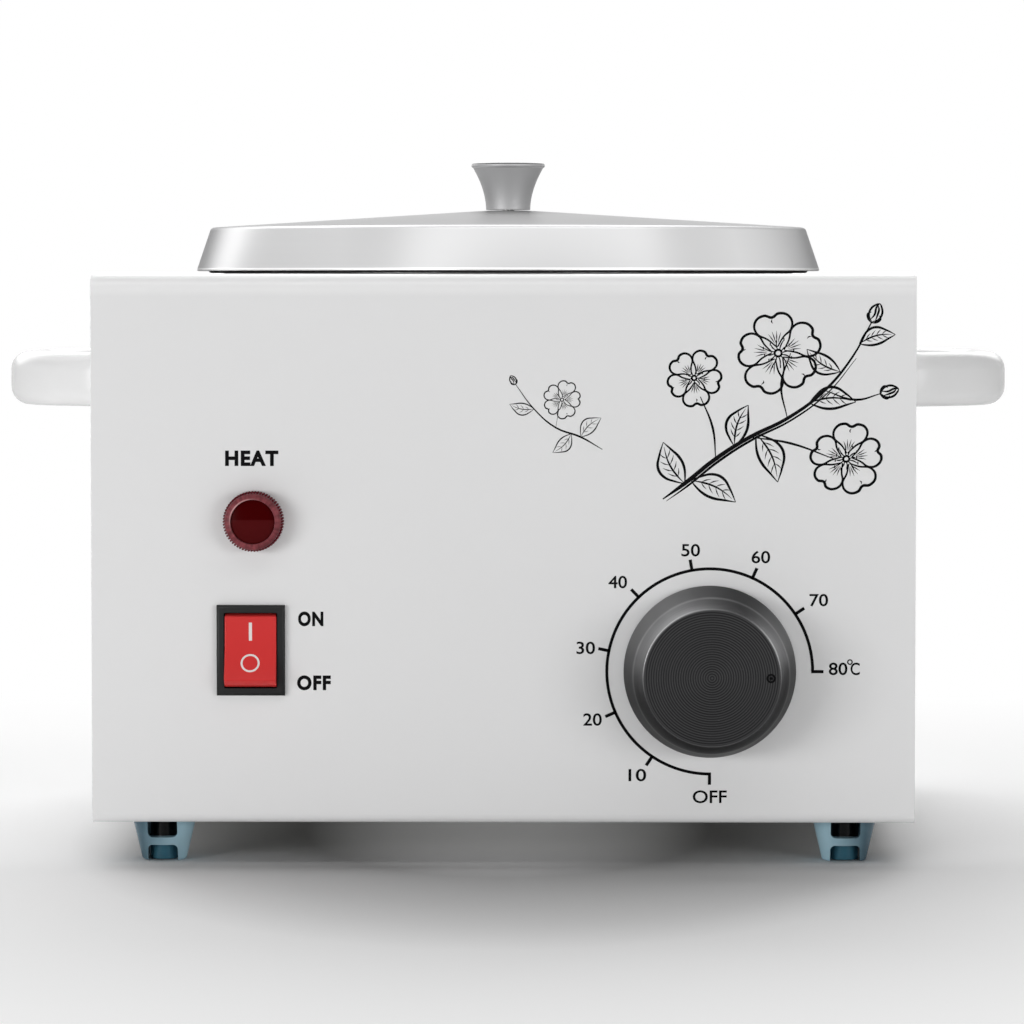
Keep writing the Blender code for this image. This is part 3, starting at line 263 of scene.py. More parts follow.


# Moulded plastic with the soft unevenness of its skin. The white moulding takes a painted
# grey shade where its surface turns away from the view.
def moulding(finish, spread=0.01, grain=0.0, shine=0.5):
    shader = newShader(finish)
    colour, rough = drift(shader, finish, spread, scale=0.03)
    # Painted shade: darker as the surface turns away from the view.
    if "edge" in finishes[finish]:
        away = shader.node("ShaderNodeLayerWeight", {}, {"Blend": 0.5}, 1)
        colour = shader.blend(away * away * away, colour, finishes[finish]["edge"])
    skin = shader.noise(shader.place(), scale=1.2 + grain * 4)
    return shader.finish(Base_Color=colour, Roughness=rough, Specular_IOR_Level=shine,
                         Normal=shader.bump(skin, strength=0.15 + grain, distance=0.00003))


# Metal turned or spun about an upright axis: fine rings run round it. The painted sheen, a
# painted reflection, makes a skirt brighter towards one side and duller at its middle, and
# puts a painted highlight along its hem. The lip is a painted shade: a dark line round the
# top, at a radius and height.
def turnedMetal(finish, centre, rings=2.2, grain=0.35, edge=0.30, sheen=None, lip=None):
    shader = newShader(finish)
    x, y, z = shader.split(shader.place(centre))
    radius = (x * x + y * y).root()
    lines = shader.noise(shader.join(radius * rings, 0.0, z * rings), detail=6.0, rough=0.7)
    colour = shader.blend(lines, *tones(finish, spread=0.03))
    # Painted reflection in fans over the skirt, and a painted highlight along its hem.
    if sheen:
        onSkirt = z.below(sheen.height, 1.5)
        for turn, level, slope, tone in sheen.fans:
            facing = shader.fan(x, y, turn, 1).above(level, slope)
            colour = shader.blend(facing * onSkirt, colour, tone)
        colour = shader.blend(z.below(sheen.hem, 3), colour, sheen.edge)
    # Painted shade: a dark line round the top.
    if lip:
        onLip = radius.above(lip.radius, 4) * z.above(lip.height, 4)
        colour = shader.blend(onLip, colour, lip.colour)
    rough = lines * (grain * 0.4) + (finishes[finish]["roughness"] - grain * 0.2)
    return shader.finish(Base_Color=colour, Roughness=rough, Metallic=1.0,
                         Normal=shader.bump(lines, strength=grain, distance=0.00001),
                         Specular_Tint=(edge, edge, edge))


# The dial's own tones and its painted light: the valley tone is painted shade in the grooves; the sheen tone, the
# line and the fans are painted highlights and reflections.
dialFinishAndSheen = Settings(
    pitch=0.78, rings=1.6, faceRadius=21.9, valley=(0.012, 0.012, 0.013),
    crest=(0.052, 0.052, 0.053), skirt=(0.058, 0.058, 0.059), sheen=(0.34, 0.34, 0.345),
    line=(0.50, 0.50, 0.505), lineRadius=25.0, lineWidth=0.35,
    fans=((132, 4, 1.0), (30, 14, 0.75), (-90, 2, 0.16)))


# The dial: even turned grooves on its flat face, their valleys painted darker as painted shade,
# a painted highlight along its crest, and painted highlights and reflections in fans round its
# shoulder and skirt.
def groovedDial(centre):
    shader = newShader("graphite")
    look = dialFinishAndSheen
    x, y, z = shader.split(shader.place(centre))
    radius = (x * x + z * z).root()
    groove = (radius * (2 * pi / look.pitch)).wave() * 0.5 + 0.5
    lines = shader.noise(shader.join(radius * look.rings, 0.0, y * look.rings), detail=5.0,
                         rough=0.7)
    onFace = radius.below(look.faceRadius, 2)
    # The grooves' valleys are painted darker than their crests: painted shade.
    face = shader.blend(groove * 0.7 + lines * 0.3, look.valley, look.crest)
    sheen = 0.0
    # Painted highlights and reflections in fans round the shoulder and skirt.
    for angle, exponent, share in look.fans:
        sheen = shader.fan(x, z, angle, exponent) * share + sheen
    side = shader.blend((sheen * (lines * 0.8 + 0.6)).clamp(), look.skirt, look.sheen)
    # A painted highlight along the crest.
    crest = shader.hoop(radius, look.lineRadius, look.lineWidth) * (sheen * 0.7 + 0.3)
    side = shader.blend(crest.clamp(), side, look.line)
    height = groove * onFace + lines * 0.5
    return shader.finish(Base_Color=shader.blend(onFace, side, face),
                         Roughness=lines * 0.2 + (finishes["graphite"]["roughness"] - 0.06),
                         Metallic=1.0, Specular_Tint=(0.45, 0.45, 0.45),
                         Normal=shader.bump(height, strength=0.5, distance=0.00006))


# Translucent foot rubber with painted light and shade: painted paler on its inner side, painted
# near black over the web where the hollow lies in shade, and painted deeper blue on the boss under it.
def footRubber(centres, seat):
    shader = newShader("footRubber")
    look = finishes["footRubber"]
    x, y, z = shader.split(shader.place())
    inside, paler = 0.0, 0.0
    for centre in centres:
        across, along = x - centre.x * 1000, y - centre.y * 1000
        away = (across * across + along * along).root()
        inside = away.below(seat.radius, 4) + inside
        inner = -1 if centre.x > 0 else 1
        # Painted light: the inner side lighter.
        paler = away.below(seat.foot, 4) * (across * (0.075 * inner) + 0.5).clamp() + paler
    inside = inside.clamp()
    cloud = shader.noise(shader.place(), scale=0.15, detail=2.0)
    colour = shader.blend((paler + cloud * 0.2 - 0.1).clamp(), look["outer"], look["inner"])
    # Painted shade: the boss deeper blue under the web.
    colour = shader.blend(inside * z.below(seat.web, 4), colour, look["boss"])
    skin = shader.noise(shader.place(), scale=0.8, detail=2.0)
    # Painted shade: near black over the web inside the hollow.
    return shader.finish(Base_Color=shader.blend(inside * z.above(seat.height, 4), colour,
                                                 look["seat"]),
                         Roughness=cloud * 0.06 + (look["roughness"] - 0.03), IOR=1.40,
                         Transmission_Weight=0.20, Specular_IOR_Level=0.12,
                         Normal=shader.bump(skin, strength=0.12, distance=0.00005))


paintedLipHighlight = Settings(radius=7.35, width=0.35, angle=140)


# The lamp's tinted ring: radial streaks, and a painted highlight on the lip at the upper left of the face.
def signalRing(centre):
    shader = newShader("lampRing")
    look = finishes["lampRing"]
    x, z = shader.split(shader.place(centre))[::2]
    radius = (x * x + z * z).root()
    streaks = shader.noise(shader.join(x / radius * 6, radius * 0.25, z / radius * 6))
    colour = shader.blend(((streaks - 0.5) * 2.4 + 0.5).clamp(), *tones("lampRing", spread=0.45))
    # A painted highlight on the lip at the upper left.
    lip = shader.hoop(radius, paintedLipHighlight.radius, paintedLipHighlight.width)
    lip = lip * shader.fan(x, z, paintedLipHighlight.angle, 3)
    return shader.finish(Base_Color=shader.blend(lip, colour, look["edge"]),
                         Roughness=streaks * 0.1 + (look["roughness"] - 0.05),
                         Specular_IOR_Level=0.12,
                         Normal=shader.bump(streaks, strength=0.3, distance=0.00004))


# Dark signal glass: a little lighter below its middle.
def signalGlass(centre):
    shader = newShader("lampFace")
    look = finishes["lampFace"]
    lower = shader.split(shader.place(centre))[2].below(level=0.8, slope=3)
    cloud = shader.noise(shader.place(), scale=0.35, detail=2.0)
    colour = shader.blend(lower, look["upper"], look["colour"])
    return shader.finish(Base_Color=shader.blend(cloud * 0.35, colour, look["deep"]),
                         Roughness=cloud * 0.08 + look["roughness"], Specular_IOR_Level=0.015)


# Plain metal or fibre with fine grain.
def grained(finish, metallic=0.0, scale=2.0, depth=0.00002, spread=0.06):
    shader = newShader(finish)
    grain = shader.noise(shader.place(), scale, detail=6.0, rough=0.65)
    return shader.finish(Base_Color=shader.blend(grain, *tones(finish, spread)),
                         Roughness=grain * 0.12 + (finishes[finish]["roughness"] - 0.06),
                         Metallic=metallic, Normal=shader.bump(grain, 0.4, distance=depth))


def middleOf(name):
    low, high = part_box(name)
    return (low + high) / 2


potCentre = middleOf("wax_pot")
dialCentre = middleOf("dial_knob")
lidCentre = middleOf("lid_cover")
knobCentre = middleOf("lid_knob")
# Each fan of the lid's painted sheen is an angle, where it starts, how fast it grows and its tone.
lidPaintedSheen = Settings(
    height=3.6, hem=-9.6, edge=(0.98, 0.98, 0.98),
    fans=((-35, 0.6, 3, (0.71, 0.71, 0.713)), (-82, 0.78, 5, (0.49, 0.49, 0.493))))
# A painted shade round the top of the knob: its radius, its height and its colour.
knobPaintedShade = Settings(radius=12.2, height=7.0, colour=(0.05, 0.05, 0.05))
footNames = ["foot_%s_%s" % (row, end) for row in ("front", "rear") for end in ("left", "right")]
footCentres = [middleOf(name) for name in footNames]
# Where the foot's painted light and shade fall: the radius of the shaded core, the height above which it is
# painted near black, the web under which the boss is painted deeper, and the reach of the paler inner side.
footPaintedShade = Settings(radius=5.2, height=7.8, web=5.6, foot=14)
# Plain plastics, with the spread of their tone, their grain and their shine.
plastics = {
    "whiteMoulding": (0.008, 0.0, 0.3), "lampTooth": (0.10, 0.0, 0.03),
    "switchBlack": (0.10, 0.5, 0.2), "rockerRed": (0.03, 0.0, 0.25), "markWhite": (0.02,),
    "ink": (0.10, 0.0, 0.05), "mattBlack": (0.10, 0.8, 0.3), "brownSleeve": (), "blueSleeve": (),
    "greenSleeve": (),
}
looks = {finish: moulding(finish, *values) for finish, values in plastics.items()}
looks.update({
    "whitePaint": paintedSheet(),
    "spunAluminium": turnedMetal("spunAluminium", potCentre),
    "lidAluminium": turnedMetal("lidAluminium", lidCentre, rings=1.4, grain=0.10, edge=0.11,
                                sheen=lidPaintedSheen),
    "turnedSteel": turnedMetal("turnedSteel", knobCentre, rings=4.0, grain=0.25, edge=0.80,
                               lip=knobPaintedShade),
    "graphite": groovedDial(dialCentre),
    "footRubber": footRubber(footCentres, footPaintedShade),
    "lampRing": signalRing(middleOf("lamp_lens")),
    "lampFace": signalGlass(middleOf("lamp_lens")),
    "zincPlate": grained("zincPlate", metallic=1.0),
    "contactBrass": grained("contactBrass", metallic=1.0),
    "copperTube": grained("copperTube", metallic=1.0),
    "glassFelt": grained("glassFelt", scale=0.7, depth=0.0004, spread=0.14),
    "steatite": grained("steatite", scale=1.5, depth=0.00003),
})
print("finishes made:", len(looks))

weldRoom = 0.000002  # merges points that a spin leaves on its axis


def startShape(points=(), closed=False):
    bm = bmesh.new()
    verts = [bm.verts.new(point) for point in points]
    for i in range(len(verts) - 1):
        bm.edges.new((verts[i], verts[i + 1]))
    if closed:
        bm.edges.new((verts[-1], verts[0]))
    return bm


def blockShape(low, high):
    bm = bmesh.new()
    bmesh.ops.create_cube(bm, size=1.0)
    low, high = Vector(low), Vector(high)
    bmesh.ops.scale(bm, vec=high - low, verts=bm.verts)
    bmesh.ops.translate(bm, vec=(low + high) / 2, verts=bm.verts)
    return bm


# A block over a box's width and height, drawn in by a margin, from one level of Y to another.
def blockBetween(box, margin, near, far):
    low, high = box
    return blockShape((low.x + margin[0], near, low.z + margin[1]),
                      (high.x - margin[0], far, high.z - margin[1]))


def moved(bm, step):
    bmesh.ops.translate(bm, vec=step, verts=bm.verts)
    return bm


def turned(bm, angle, axis):
    bmesh.ops.rotate(bm, cent=(0, 0, 0), matrix=Matrix.Rotation(angle, 3, axis), verts=bm.verts)
    return bm


# Carries the new side of an extrusion out along X.
def drawnOut(bm, grown, width):
    far = [item for item in grown["geom"] if isinstance(item, bmesh.types.BMVert)]
    bmesh.ops.translate(bm, vec=(width, 0, 0), verts=far)
    bmesh.ops.recalc_face_normals(bm, faces=bm.faces)
    return bm


# Tests of an edge: it runs along an axis, lies at a level of one, or bends more than an angle.
def runsAlong(edge, axis):
    return abs(edge.verts[0].co[axis] - edge.verts[1].co[axis]) > 0.001


def liesOn(edge, axis, level):
    return all(abs(vert.co[axis] - level) < 0.0001 for vert in edge.verts)


def bentMore(edge, angle):
    return edge.calc_face_angle(0) > radians(angle)


def bevelled(bm, width, segments=3, chosen=None):
    edges = bm.edges[:] if chosen is None else [edge for edge in bm.edges if chosen(edge)]
    bmesh.ops.bevel(bm, geom=edges, offset=width, segments=segments, affect='EDGES',
                    profile=0.5, material=-1, clamp_overlap=True)
    return bm


# Turns a profile of (radius, distance along the axis) once round an axis through the centre.
def turnedShape(profile, centre, axis, steps=96, closed=False):
    axis = Vector(axis)
    side = axis.orthogonal().normalized()
    points = [Vector(centre) + side * radius + axis * along for radius, along in profile]
    bm = startShape(points, closed)
    bmesh.ops.spin(bm, geom=bm.verts[:] + bm.edges[:], cent=centre, axis=axis, angle=2 * pi,
                   steps=steps, use_merge=True, use_duplicate=False)
    bmesh.ops.remove_doubles(bm, verts=bm.verts, dist=weldRoom)
    bmesh.ops.recalc_face_normals(bm, faces=bm.faces)
    return bm


# A turned ring of four corners, between two radii and two distances along the axis.
def ringShape(centre, axis, inner, outer, low, high, steps):
    corners = [(outer, high), (outer, low), (inner, low), (inner, high)]
    return turnedShape(corners, centre, axis, steps, True)


# The points of an arc in the profile's plane, from one angle to another in degrees.
def arc(centre, radius, start, end, steps=8):
    points = []
    for i in range(steps + 1):
        angle = radians(start + (end - start) * i / steps)
        points.append((centre[0] + radius * cos(angle), centre[1] + radius * sin(angle)))
    return points


# A path through the points with its inner corners rounded.
def roundedPath(points, radii, steps=8):
    points = [Vector(point).to_3d() for point in points]
    path = [points[0]]
    for i in range(1, len(points) - 1):
        before, corner, after = points[i - 1], points[i], points[i + 1]
        radius = radii[i - 1]
        if not radius:
            path.append(corner)
            continue
        toBefore = (before - corner).normalized()
        toAfter = (after - corner).normalized()
        half = toBefore.angle(toAfter) / 2
        middle = corner + (toBefore + toAfter).normalized() * (radius / sin(half))
        first = (corner + toBefore * (radius / tan(half)) - middle).normalized()
        last = (corner + toAfter * (radius / tan(half)) - middle).normalized()
        path += [middle + first.slerp(last, j / steps) * radius for j in range(steps + 1)]
    path.append(points[-1])
    return path


def roundedProfile(points, radii, steps=8):
    return [(point.x, point.y) for point in roundedPath(points, radii, steps)]


def meshOf(name, bm, sharp=35):
    mesh = bpy.data.meshes.new(name)
    bm.to_mesh(mesh)
    bm.free()
    mesh.shade_smooth()
    mesh.set_sharp_from_angle(angle=radians(sharp))
    return mesh


# The mesh that an object's modifiers or its curve make.
def madeMesh(item):
    bpy.context.view_layer.update()
    view = bpy.context.evaluated_depsgraph_get()
    return bpy.data.meshes.new_from_object(item.evaluated_get(view))


# Applies an object's modifiers to its mesh.
def settle(item):
    mesh = madeMesh(item)
    item.modifiers.clear()
    item.data = mesh
    return item


def added(name, data):
    item = bpy.data.objects.new(name, data)
    bpy.context.scene.collection.objects.link(item)
    return item


# Cuts or joins shapes; each tool shape is used up.
def shaped(item, tools, operation='DIFFERENCE'):
    made = [loose("tool", tool) for tool in tools]
    for other in made:
        step = item.modifiers.new("shape", 'BOOLEAN')
        step.operation = operation
        step.solver = 'EXACT'
        step.object = other
    settle(item)
    for other in made:
        bpy.data.objects.remove(other)
    return smoothed(item, 35)


def loose(name, bm, sharp=35):
    return added(name, meshOf(name, bm, sharp))


def smoothed(item, sharp=40):
    item.data.shade_smooth()
    item.data.set_sharp_from_angle(angle=radians(sharp))
    return item


# Flat faces keep flat shading beside rounded edges.
def steadyNormals(item):
    steady = item.modifiers.new("normals", 'WEIGHTED_NORMAL')
    steady.keep_sharp = True
    steady.weight = 80
    return item


# Hands a finished piece its look and its body, and hides the nodes that it stands for; its slot is not used.
def dress(item, look, body, slot, *replaced):
    item.data.materials.clear()
    item.data.materials.append(looks[look])
    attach(item, body)
    if replaced:
        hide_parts(*replaced)


def wall(item, thickness, side=-1):
    sheet = item.modifiers.new("sheet", 'SOLIDIFY')
    sheet.thickness = thickness
    sheet.offset = side
    sheet.use_even_offset = True
    return settle(item)


# A sheet turned round an upright axis. Its faces look away from the axis before it gets its
# thickness on one side.
def turnedSheet(name, profile, centre, look, side):
    bm = turnedShape(profile, centre, up, look.steps)
    outward = 0.0
    for face in bm.faces:
        away = face.calc_center_median() - centre
        if abs(face.normal.z) < 0.5:
            outward += face.normal.dot(Vector((away.x, away.y, 0)).normalized()) * face.calc_area()
    if outward < 0:
        bmesh.ops.reverse_faces(bm, faces=bm.faces)
    return wall(loose(name, bm, 50), look.wall, side)


def rod(centre, radius, length, axis, steps=48):
    axis = Vector(axis)
    half = length / 2
    return turnedShape([(0, half), (radius, half), (radius, -half), (0, -half)], centre, axis,
                       steps)


# A round cut at a node's own place, but at a level along its axis.
def drilled(name, axis, level, radius, length, steps=24):
    spot = middleOf(name)
    for i in range(3):
        if axis[i]:
            spot[i] = level
    return rod(spot, radius, length, axis, steps)


front = Vector((0, -1, 0))
back = Vector((0, 1, 0))
up = Vector((0, 0, 1))
right = Vector((1, 0, 0))
caseLow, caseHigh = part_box("body_wrap")
frontY, backY = caseLow.y, caseHigh.y

caseSettings = Settings(
    sheet=0.001, bend=0.005, baseBend=0.003, returnWidth=0.036, bendSteps=10, edgeSoftness=0.0002,
    softFrom=60, cut=0.004, wellHole=0.0998, lampHole=0.0083, shaftHole=0.005, screwHole=0.0018,
    shaftScrewHole=0.0023, switchInset=(0.001, 0.001), inletInset=(0.0110, 0.0016))


# The case's wrap: one folded sheet, with holes for the well, the controls and the screws.
def caseWrap():
    look = caseSettings
    inset, cut = look.returnWidth, look.cut
    corners = [(frontY + inset, caseLow.z), (frontY, caseLow.z), (frontY, caseHigh.z),
               (backY, caseHigh.z), (backY, caseLow.z), (backY - inset, caseLow.z)]
    bends = [look.baseBend, look.bend, look.bend, look.baseBend]
    path = roundedPath(corners, bends, look.bendSteps)
    bm = startShape([(caseLow.x, point.x, point.y) for point in path])
    drawnOut(bm, bmesh.ops.extrude_edge_only(bm, edges=bm.edges[:]), caseHigh.x - caseLow.x)
    wrap = wall(loose("caseWrap", bm), look.sheet)
    soft = wrap.modifiers.new("soft", 'BEVEL')
    soft.width = look.edgeSoftness
    soft.segments = 2
    soft.limit_method = 'ANGLE'
    soft.angle_limit = radians(look.softFrom)
    settle(wrap)
    tools = [drilled("heating_well", up, caseHigh.z, look.wellHole, 2 * cut, 128),
             drilled("lamp_body", front, frontY, look.lampHole, 2 * cut, 48),
             drilled("thermostat_shaft", front, frontY, look.shaftHole, 2 * cut, 48),
             blockBetween(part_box("switch_bezel"), look.switchInset, frontY - cut, frontY + cut),
             blockBetween(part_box("inlet_socket"), look.inletInset, backY - cut, backY + cut)]
    screws = {"foot_screw": (up, caseLow.z, look.screwHole),
              "thermostat_screw": (front, frontY, look.shaftScrewHole),
              "panel_screw": (back, backY, look.screwHole),
              "inlet_screw": (back, backY, look.screwHole)}
    for name in nodes:
        tools += [drilled(name, *screws[start], 2 * cut) for start in screws
                  if name.startswith(start)]
    shaped(wrap, tools)
    dress(steadyNormals(wrap), "whitePaint", "housing", "white_paint", "body_wrap")


panelSettings = Settings(
    bend=0.002, corner=0.0037, baseCorner=0.0017, handleHole=0.0028, screwHole=0.0018, cut=0.006)


# One closing pan, folded inwards, with the holes of the handle's screws and of its own.
def sidePan(side):
    end = "right" if side > 0 else "left"
    low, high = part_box("side_panel_" + end)
    look = panelSettings
    bm = blockShape(low, high)
    bmesh.ops.recalc_face_normals(bm, faces=bm.faces)
    mouth = [face for face in bm.faces if face.normal.x * side < -0.5]
    bmesh.ops.delete(bm, geom=mouth, context='FACES_ONLY')
    middleZ = (low.z + high.z) / 2
    for corner, above in ((look.baseCorner, False), (look.corner, True)):
        bevelled(bm, corner, 8, lambda edge: runsAlong(edge, 0)
                 and (edge.verts[0].co.z > middleZ) == above)
    outer = high.x if side > 0 else low.x
    bevelled(bm, look.bend, 6, lambda edge: liesOn(edge, 0, outer))
    pan = wall(loose("sidePan" + end.title(), bm), caseSettings.sheet)
    shaped(pan, [drilled("handle_screw_%s_%s" % (row, end), right, outer, look.handleHole,
                         look.cut) for row in ("front", "rear")]
           + [drilled("panel_screw_%s_%s" % (level, end), back, high.y, look.screwHole,
                      look.cut) for level in ("low", "high")])
    dress(steadyNormals(pan), "whitePaint", "housing", "white_paint", "side_panel_" + end)


handleSettings = Settings(
    thickness=0.0130, height=0.0183, baseSpan=0.101, barSpan=0.066, pad=0.0053, innerBend=0.0085,
    outerBend=0.0300, round=0.0062, roundSteps=6, flare=1.08, flareSteps=6, steps=12,
    screwHole=0.0028, cut=0.024, sharp=50)


# A moulded arch: a rounded section swept out from the panel and back, flared at its feet.
def carryHandle(side):
    end = "right" if side > 0 else "left"
    low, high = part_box("handle_" + end)
    look = handleSettings
    middle = (low + high) / 2
    root = low.x if side > 0 else high.x
    bar = high.x - low.x - look.thickness / 2
    reach, shoulder = look.baseSpan / 2, look.barSpan / 2
    corners = [(0, reach), (look.pad, reach), (bar, shoulder), (bar, -shoulder),
               (look.pad, -reach), (0, -reach)]
    bends = [look.innerBend, look.outerBend, look.outerBend, look.innerBend]
    path = roundedPath(corners, bends, look.steps)
    wide, tall = look.thickness / 2, look.height / 2
    outline = [(0, tall), (wide, tall), (wide, -tall), (-wide, -tall), (-wide, tall), (0, tall)]
    outline = roundedPath(outline, [look.round] * 4, look.roundSteps)[:-1]
    last = len(path) - 1
    sections = []
    bm = bmesh.new()
    for i, point in enumerate(path):
        ahead = path[min(i + 1, last)] - path[max(i - 1, 0)]
        across = Vector((ahead.y, -ahead.x, 0)).normalized()
        travel = min(i, last - i) / look.flareSteps
        grow = 1 + (look.flare - 1) * max(0, 1 - travel) ** 2
        base = Vector((point.x, point.y, 0))
        loop = [bm.verts.new(base + (across * spot.x + up * spot.y) * grow) for spot in outline]
        sections.append([bm.edges.new(pair) for pair in zip(loop, loop[1:] + loop[:1])])
    for first, second in zip(sections, sections[1:]):
        bmesh.ops.bridge_loops(bm, edges=first + second)
    bmesh.ops.holes_fill(bm, edges=sections[0] + sections[-1], sides=0)
    bmesh.ops.scale(bm, vec=(side, 1, 1), verts=bm.verts)
    moved(bm, (root, middle.y, middle.z))
    bmesh.ops.recalc_face_normals(bm, faces=bm.faces)
    item = loose("carryHandle" + end.title(), bm, look.sharp)
    shaped(item, [rod((root, middle.y + foot * reach, middle.z), look.screwHole, look.cut,
                      right, 24) for foot in (-1, 1)])
    dress(smoothed(item, look.sharp), "whiteMoulding", "housing", "white_plastic",
          "handle_" + end)


footSettings = Settings(
    topRadius=0.0104, bottomRadius=0.0072, wall=0.0017, webLow=0.0054, webHigh=0.0079,
    topEdge=(0.0003, 0.0004), toeHeight=0.0012, toe=0.0010, toeInset=0.0008, bossRadius=0.0046,
    bossEdge=0.0003, bossLap=0.0004, screwRoom=0.0030, seat=0.0047, shank=0.0018,
    windowWidth=0.0097, windowCorner=0.0016, windowSpan=(0.001, 0.002), cut=0.006, lip=0.0003,
    steps=64, bossSteps=48)


# A hollow cone with a web, a window over the web and another under it, front and back, and a
# boss that stands through the web round the screw.
def rubberFoot(name):
    low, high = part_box(name)
    look = footSettings
    centre = Vector(((low.x + high.x) / 2, (low.y + high.y) / 2, 0))
    top, outer, toe = high.z, look.topRadius, look.bottomRadius
    innerTop, innerBottom = outer - look.wall, toe - look.wall
    innerWeb = innerBottom + (innerTop - innerBottom) * look.webLow / top
    slope = (outer - toe) / top
    bore = look.bossRadius - look.bossLap
    profile = [(innerTop, top), (outer - look.topEdge[0], top),
               (outer, top - look.topEdge[1]),
               (toe + slope * look.toeHeight, look.toeHeight)]
    profile += arc((toe - look.toeInset, look.toe), look.toe, -15, -80, 5)
    profile += [(innerBottom, 0), (innerWeb, look.webLow), (bore, look.webLow),
                (bore, look.webHigh), (innerWeb, look.webHigh)]
    title = name.replace("_", "")
    foot = loose(title + "Rubber", turnedShape(profile, centre, up, look.steps, True))
    tools = []
    width = look.windowWidth / 2
    start, past = look.windowSpan
    for side in (-1, 1):
        near, far = sorted((side * start, side * (outer + past)))
        for bottom, ceiling in ((look.webHigh, top + look.cut),
                                (-look.cut, look.webLow)):
            window = blockShape((-width, near, bottom), (width, far, ceiling))
            bevelled(window, look.windowCorner, 5, lambda edge: runsAlong(edge, 1))
            tools.append(moved(window, centre))
    shaped(foot, tools)
    dress(steadyNormals(foot), "footRubber", "housing", "blue_rubber", name)
    boss, lip, soft = look.bossRadius, look.lip, look.bossEdge
    stem = [(boss, top), (boss, lip + soft), (boss - soft, lip), (look.screwRoom, lip),
            (look.screwRoom, look.seat), (look.shank, look.seat),
            (look.shank, top)]
    post = loose(title + "Boss", turnedShape(stem, centre, up, look.bossSteps, True))
    dress(steadyNormals(post), "footRubber", "housing", "blue_rubber")


wellSettings = Settings(
    wall=0.0008, inner=0.0970, bend=0.0023, corner=0.0097, edge=0.0002, steps=160)
potSettings = Settings(wall=0.0012, outer=0.0965, rim=0.0026, corner=0.008, steps=160)


# The well: a straight spun shell under a flange that lies on the top sheet.
def wellShell():
    low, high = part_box("heating_well")
    centre = Vector((potCentre.x, potCentre.y, 0))
    look = wellSettings
    flange, floor = (high.x - low.x) / 2, low.z + look.wall
    brink = (flange - look.edge, high.z)
    corners = [brink, (look.inner, high.z), (look.inner, floor), (0, floor)]
    profile = [(flange, high.z - look.wall / 2), brink]
    profile += roundedProfile(corners, [look.bend, look.corner])[1:]
    shell = turnedSheet("wellShell", profile, centre, look, 1)
    dress(smoothed(shell), "spunAluminium", "housing", "satin_aluminium", "heating_well")


# The pot: a straight shell with a rolled rim.
def waxPotShell():
    low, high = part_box("wax_pot")
    centre = Vector((potCentre.x, potCentre.y, 0))
    look = potSettings
    inner, floor = look.outer - look.wall, low.z + look.wall
    profile = arc((inner + look.rim, high.z - look.rim), look.rim, -60, 180, 18)
    profile += roundedProfile([profile[-1], (inner, floor), (0, floor)], [look.corner])[1:]
    shell = turnedSheet("waxPotShell", profile, centre, look, 1)
    dress(smoothed(shell), "spunAluminium", "pot", "satin_aluminium", "wax_pot")


lidSettings = Settings(
    wall=0.0012, rise=0.0060, shoulder=0.1032, bend=0.0016, hem=0.0005, hemInset=0.06,
    hemRise=1.34, straight=0.92, drop=0.0005, hole=0.0023, neck=0.0077, steps=192)


# The lid: a shallow cone, a rounded shoulder, and a flared skirt with a dressed edge.
def lidShell():
    low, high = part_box("lid_cover")
    centre = Vector((potCentre.x, potCentre.y, 0))
    look = lidSettings
    low.z -= look.drop
    edge, bead = (high.x - low.x) / 2, look.hem
    shoulderZ = high.z - look.rise
    hem = (edge - bead * look.hemInset, low.z + bead * look.hemRise)
    flare = hem[0] - look.shoulder
    fall = shoulderZ - low.z - bead * look.hemRise
    corners = [(look.hole, high.z), (look.neck, high.z), (look.shoulder, shoulderZ),
               (look.shoulder + flare * look.straight, shoulderZ - fall * look.straight),
               hem]
    profile = roundedProfile(corners, [0, look.bend, 0], 10)
    profile += arc((edge - bead, low.z + bead), bead, 10, -80, 7)
    shell = turnedSheet("lidShell", profile, centre, look, -1)
    dress(smoothed(shell, 50), "lidAluminium", "lid", "satin_aluminium", "lid_cover")


knobSettings = Settings(
    rim=0.0128, neck=0.0077, dome=0.0010, domeShare=0.94, lip=0.0016, lipInset=0.0006, hollow=1.9,
    bore=0.0023, boreDepth=0.009, steps=96)


# The lid's knob flares in a hollow curve to a thin rolled rim under a shallow dome.
def lidKnob():
    low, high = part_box("lid_knob")
    centre = Vector((potCentre.x, potCentre.y, low.z))
    look = knobSettings
    height = high.z - low.z
    half = look.lip / 2
    profile = [(0, height)]
    for i in range(1, 7):
        share = i / 6 * look.domeShare
        profile.append((look.rim * share, height - look.dome * share ** 2))
    rimZ = height - look.dome - half
    profile += arc((look.rim - half, rimZ), half, 75, -80, 8)
    flare = look.rim - look.neck - look.lipInset
    for i in range(1, 17):
        left = 1 - i / 16
        profile.append((look.neck + flare * left ** look.hollow, (rimZ - half) * left))
    profile += [(look.bore, 0), (look.bore, look.boreDepth), (0, look.boreDepth)]
    knob = loose("lidKnob", turnedShape(profile, centre, up, look.steps))
    dress(steadyNormals(knob), "turnedSteel", "lid", "satin_aluminium", "lid_knob")


dialSettings = Settings(
    base=0.0280, baseEdge=(0.0002, 0.0006), crest=0.0250, crestHeight=0.0172, face=0.0222,
    swell=(0.0239, 0.0031), round=0.0004, wall=0.0018, hub=0.0065, hubLow=0.001, shaft=0.0033,
    mark=0.00090, markRing=0.00148, markDot=0.00050, markOffset=0.0187, markDepth=0.0003,
    markRise=0.00003, dotLift=0.0001, dotHeight=0.0004, steps=160)


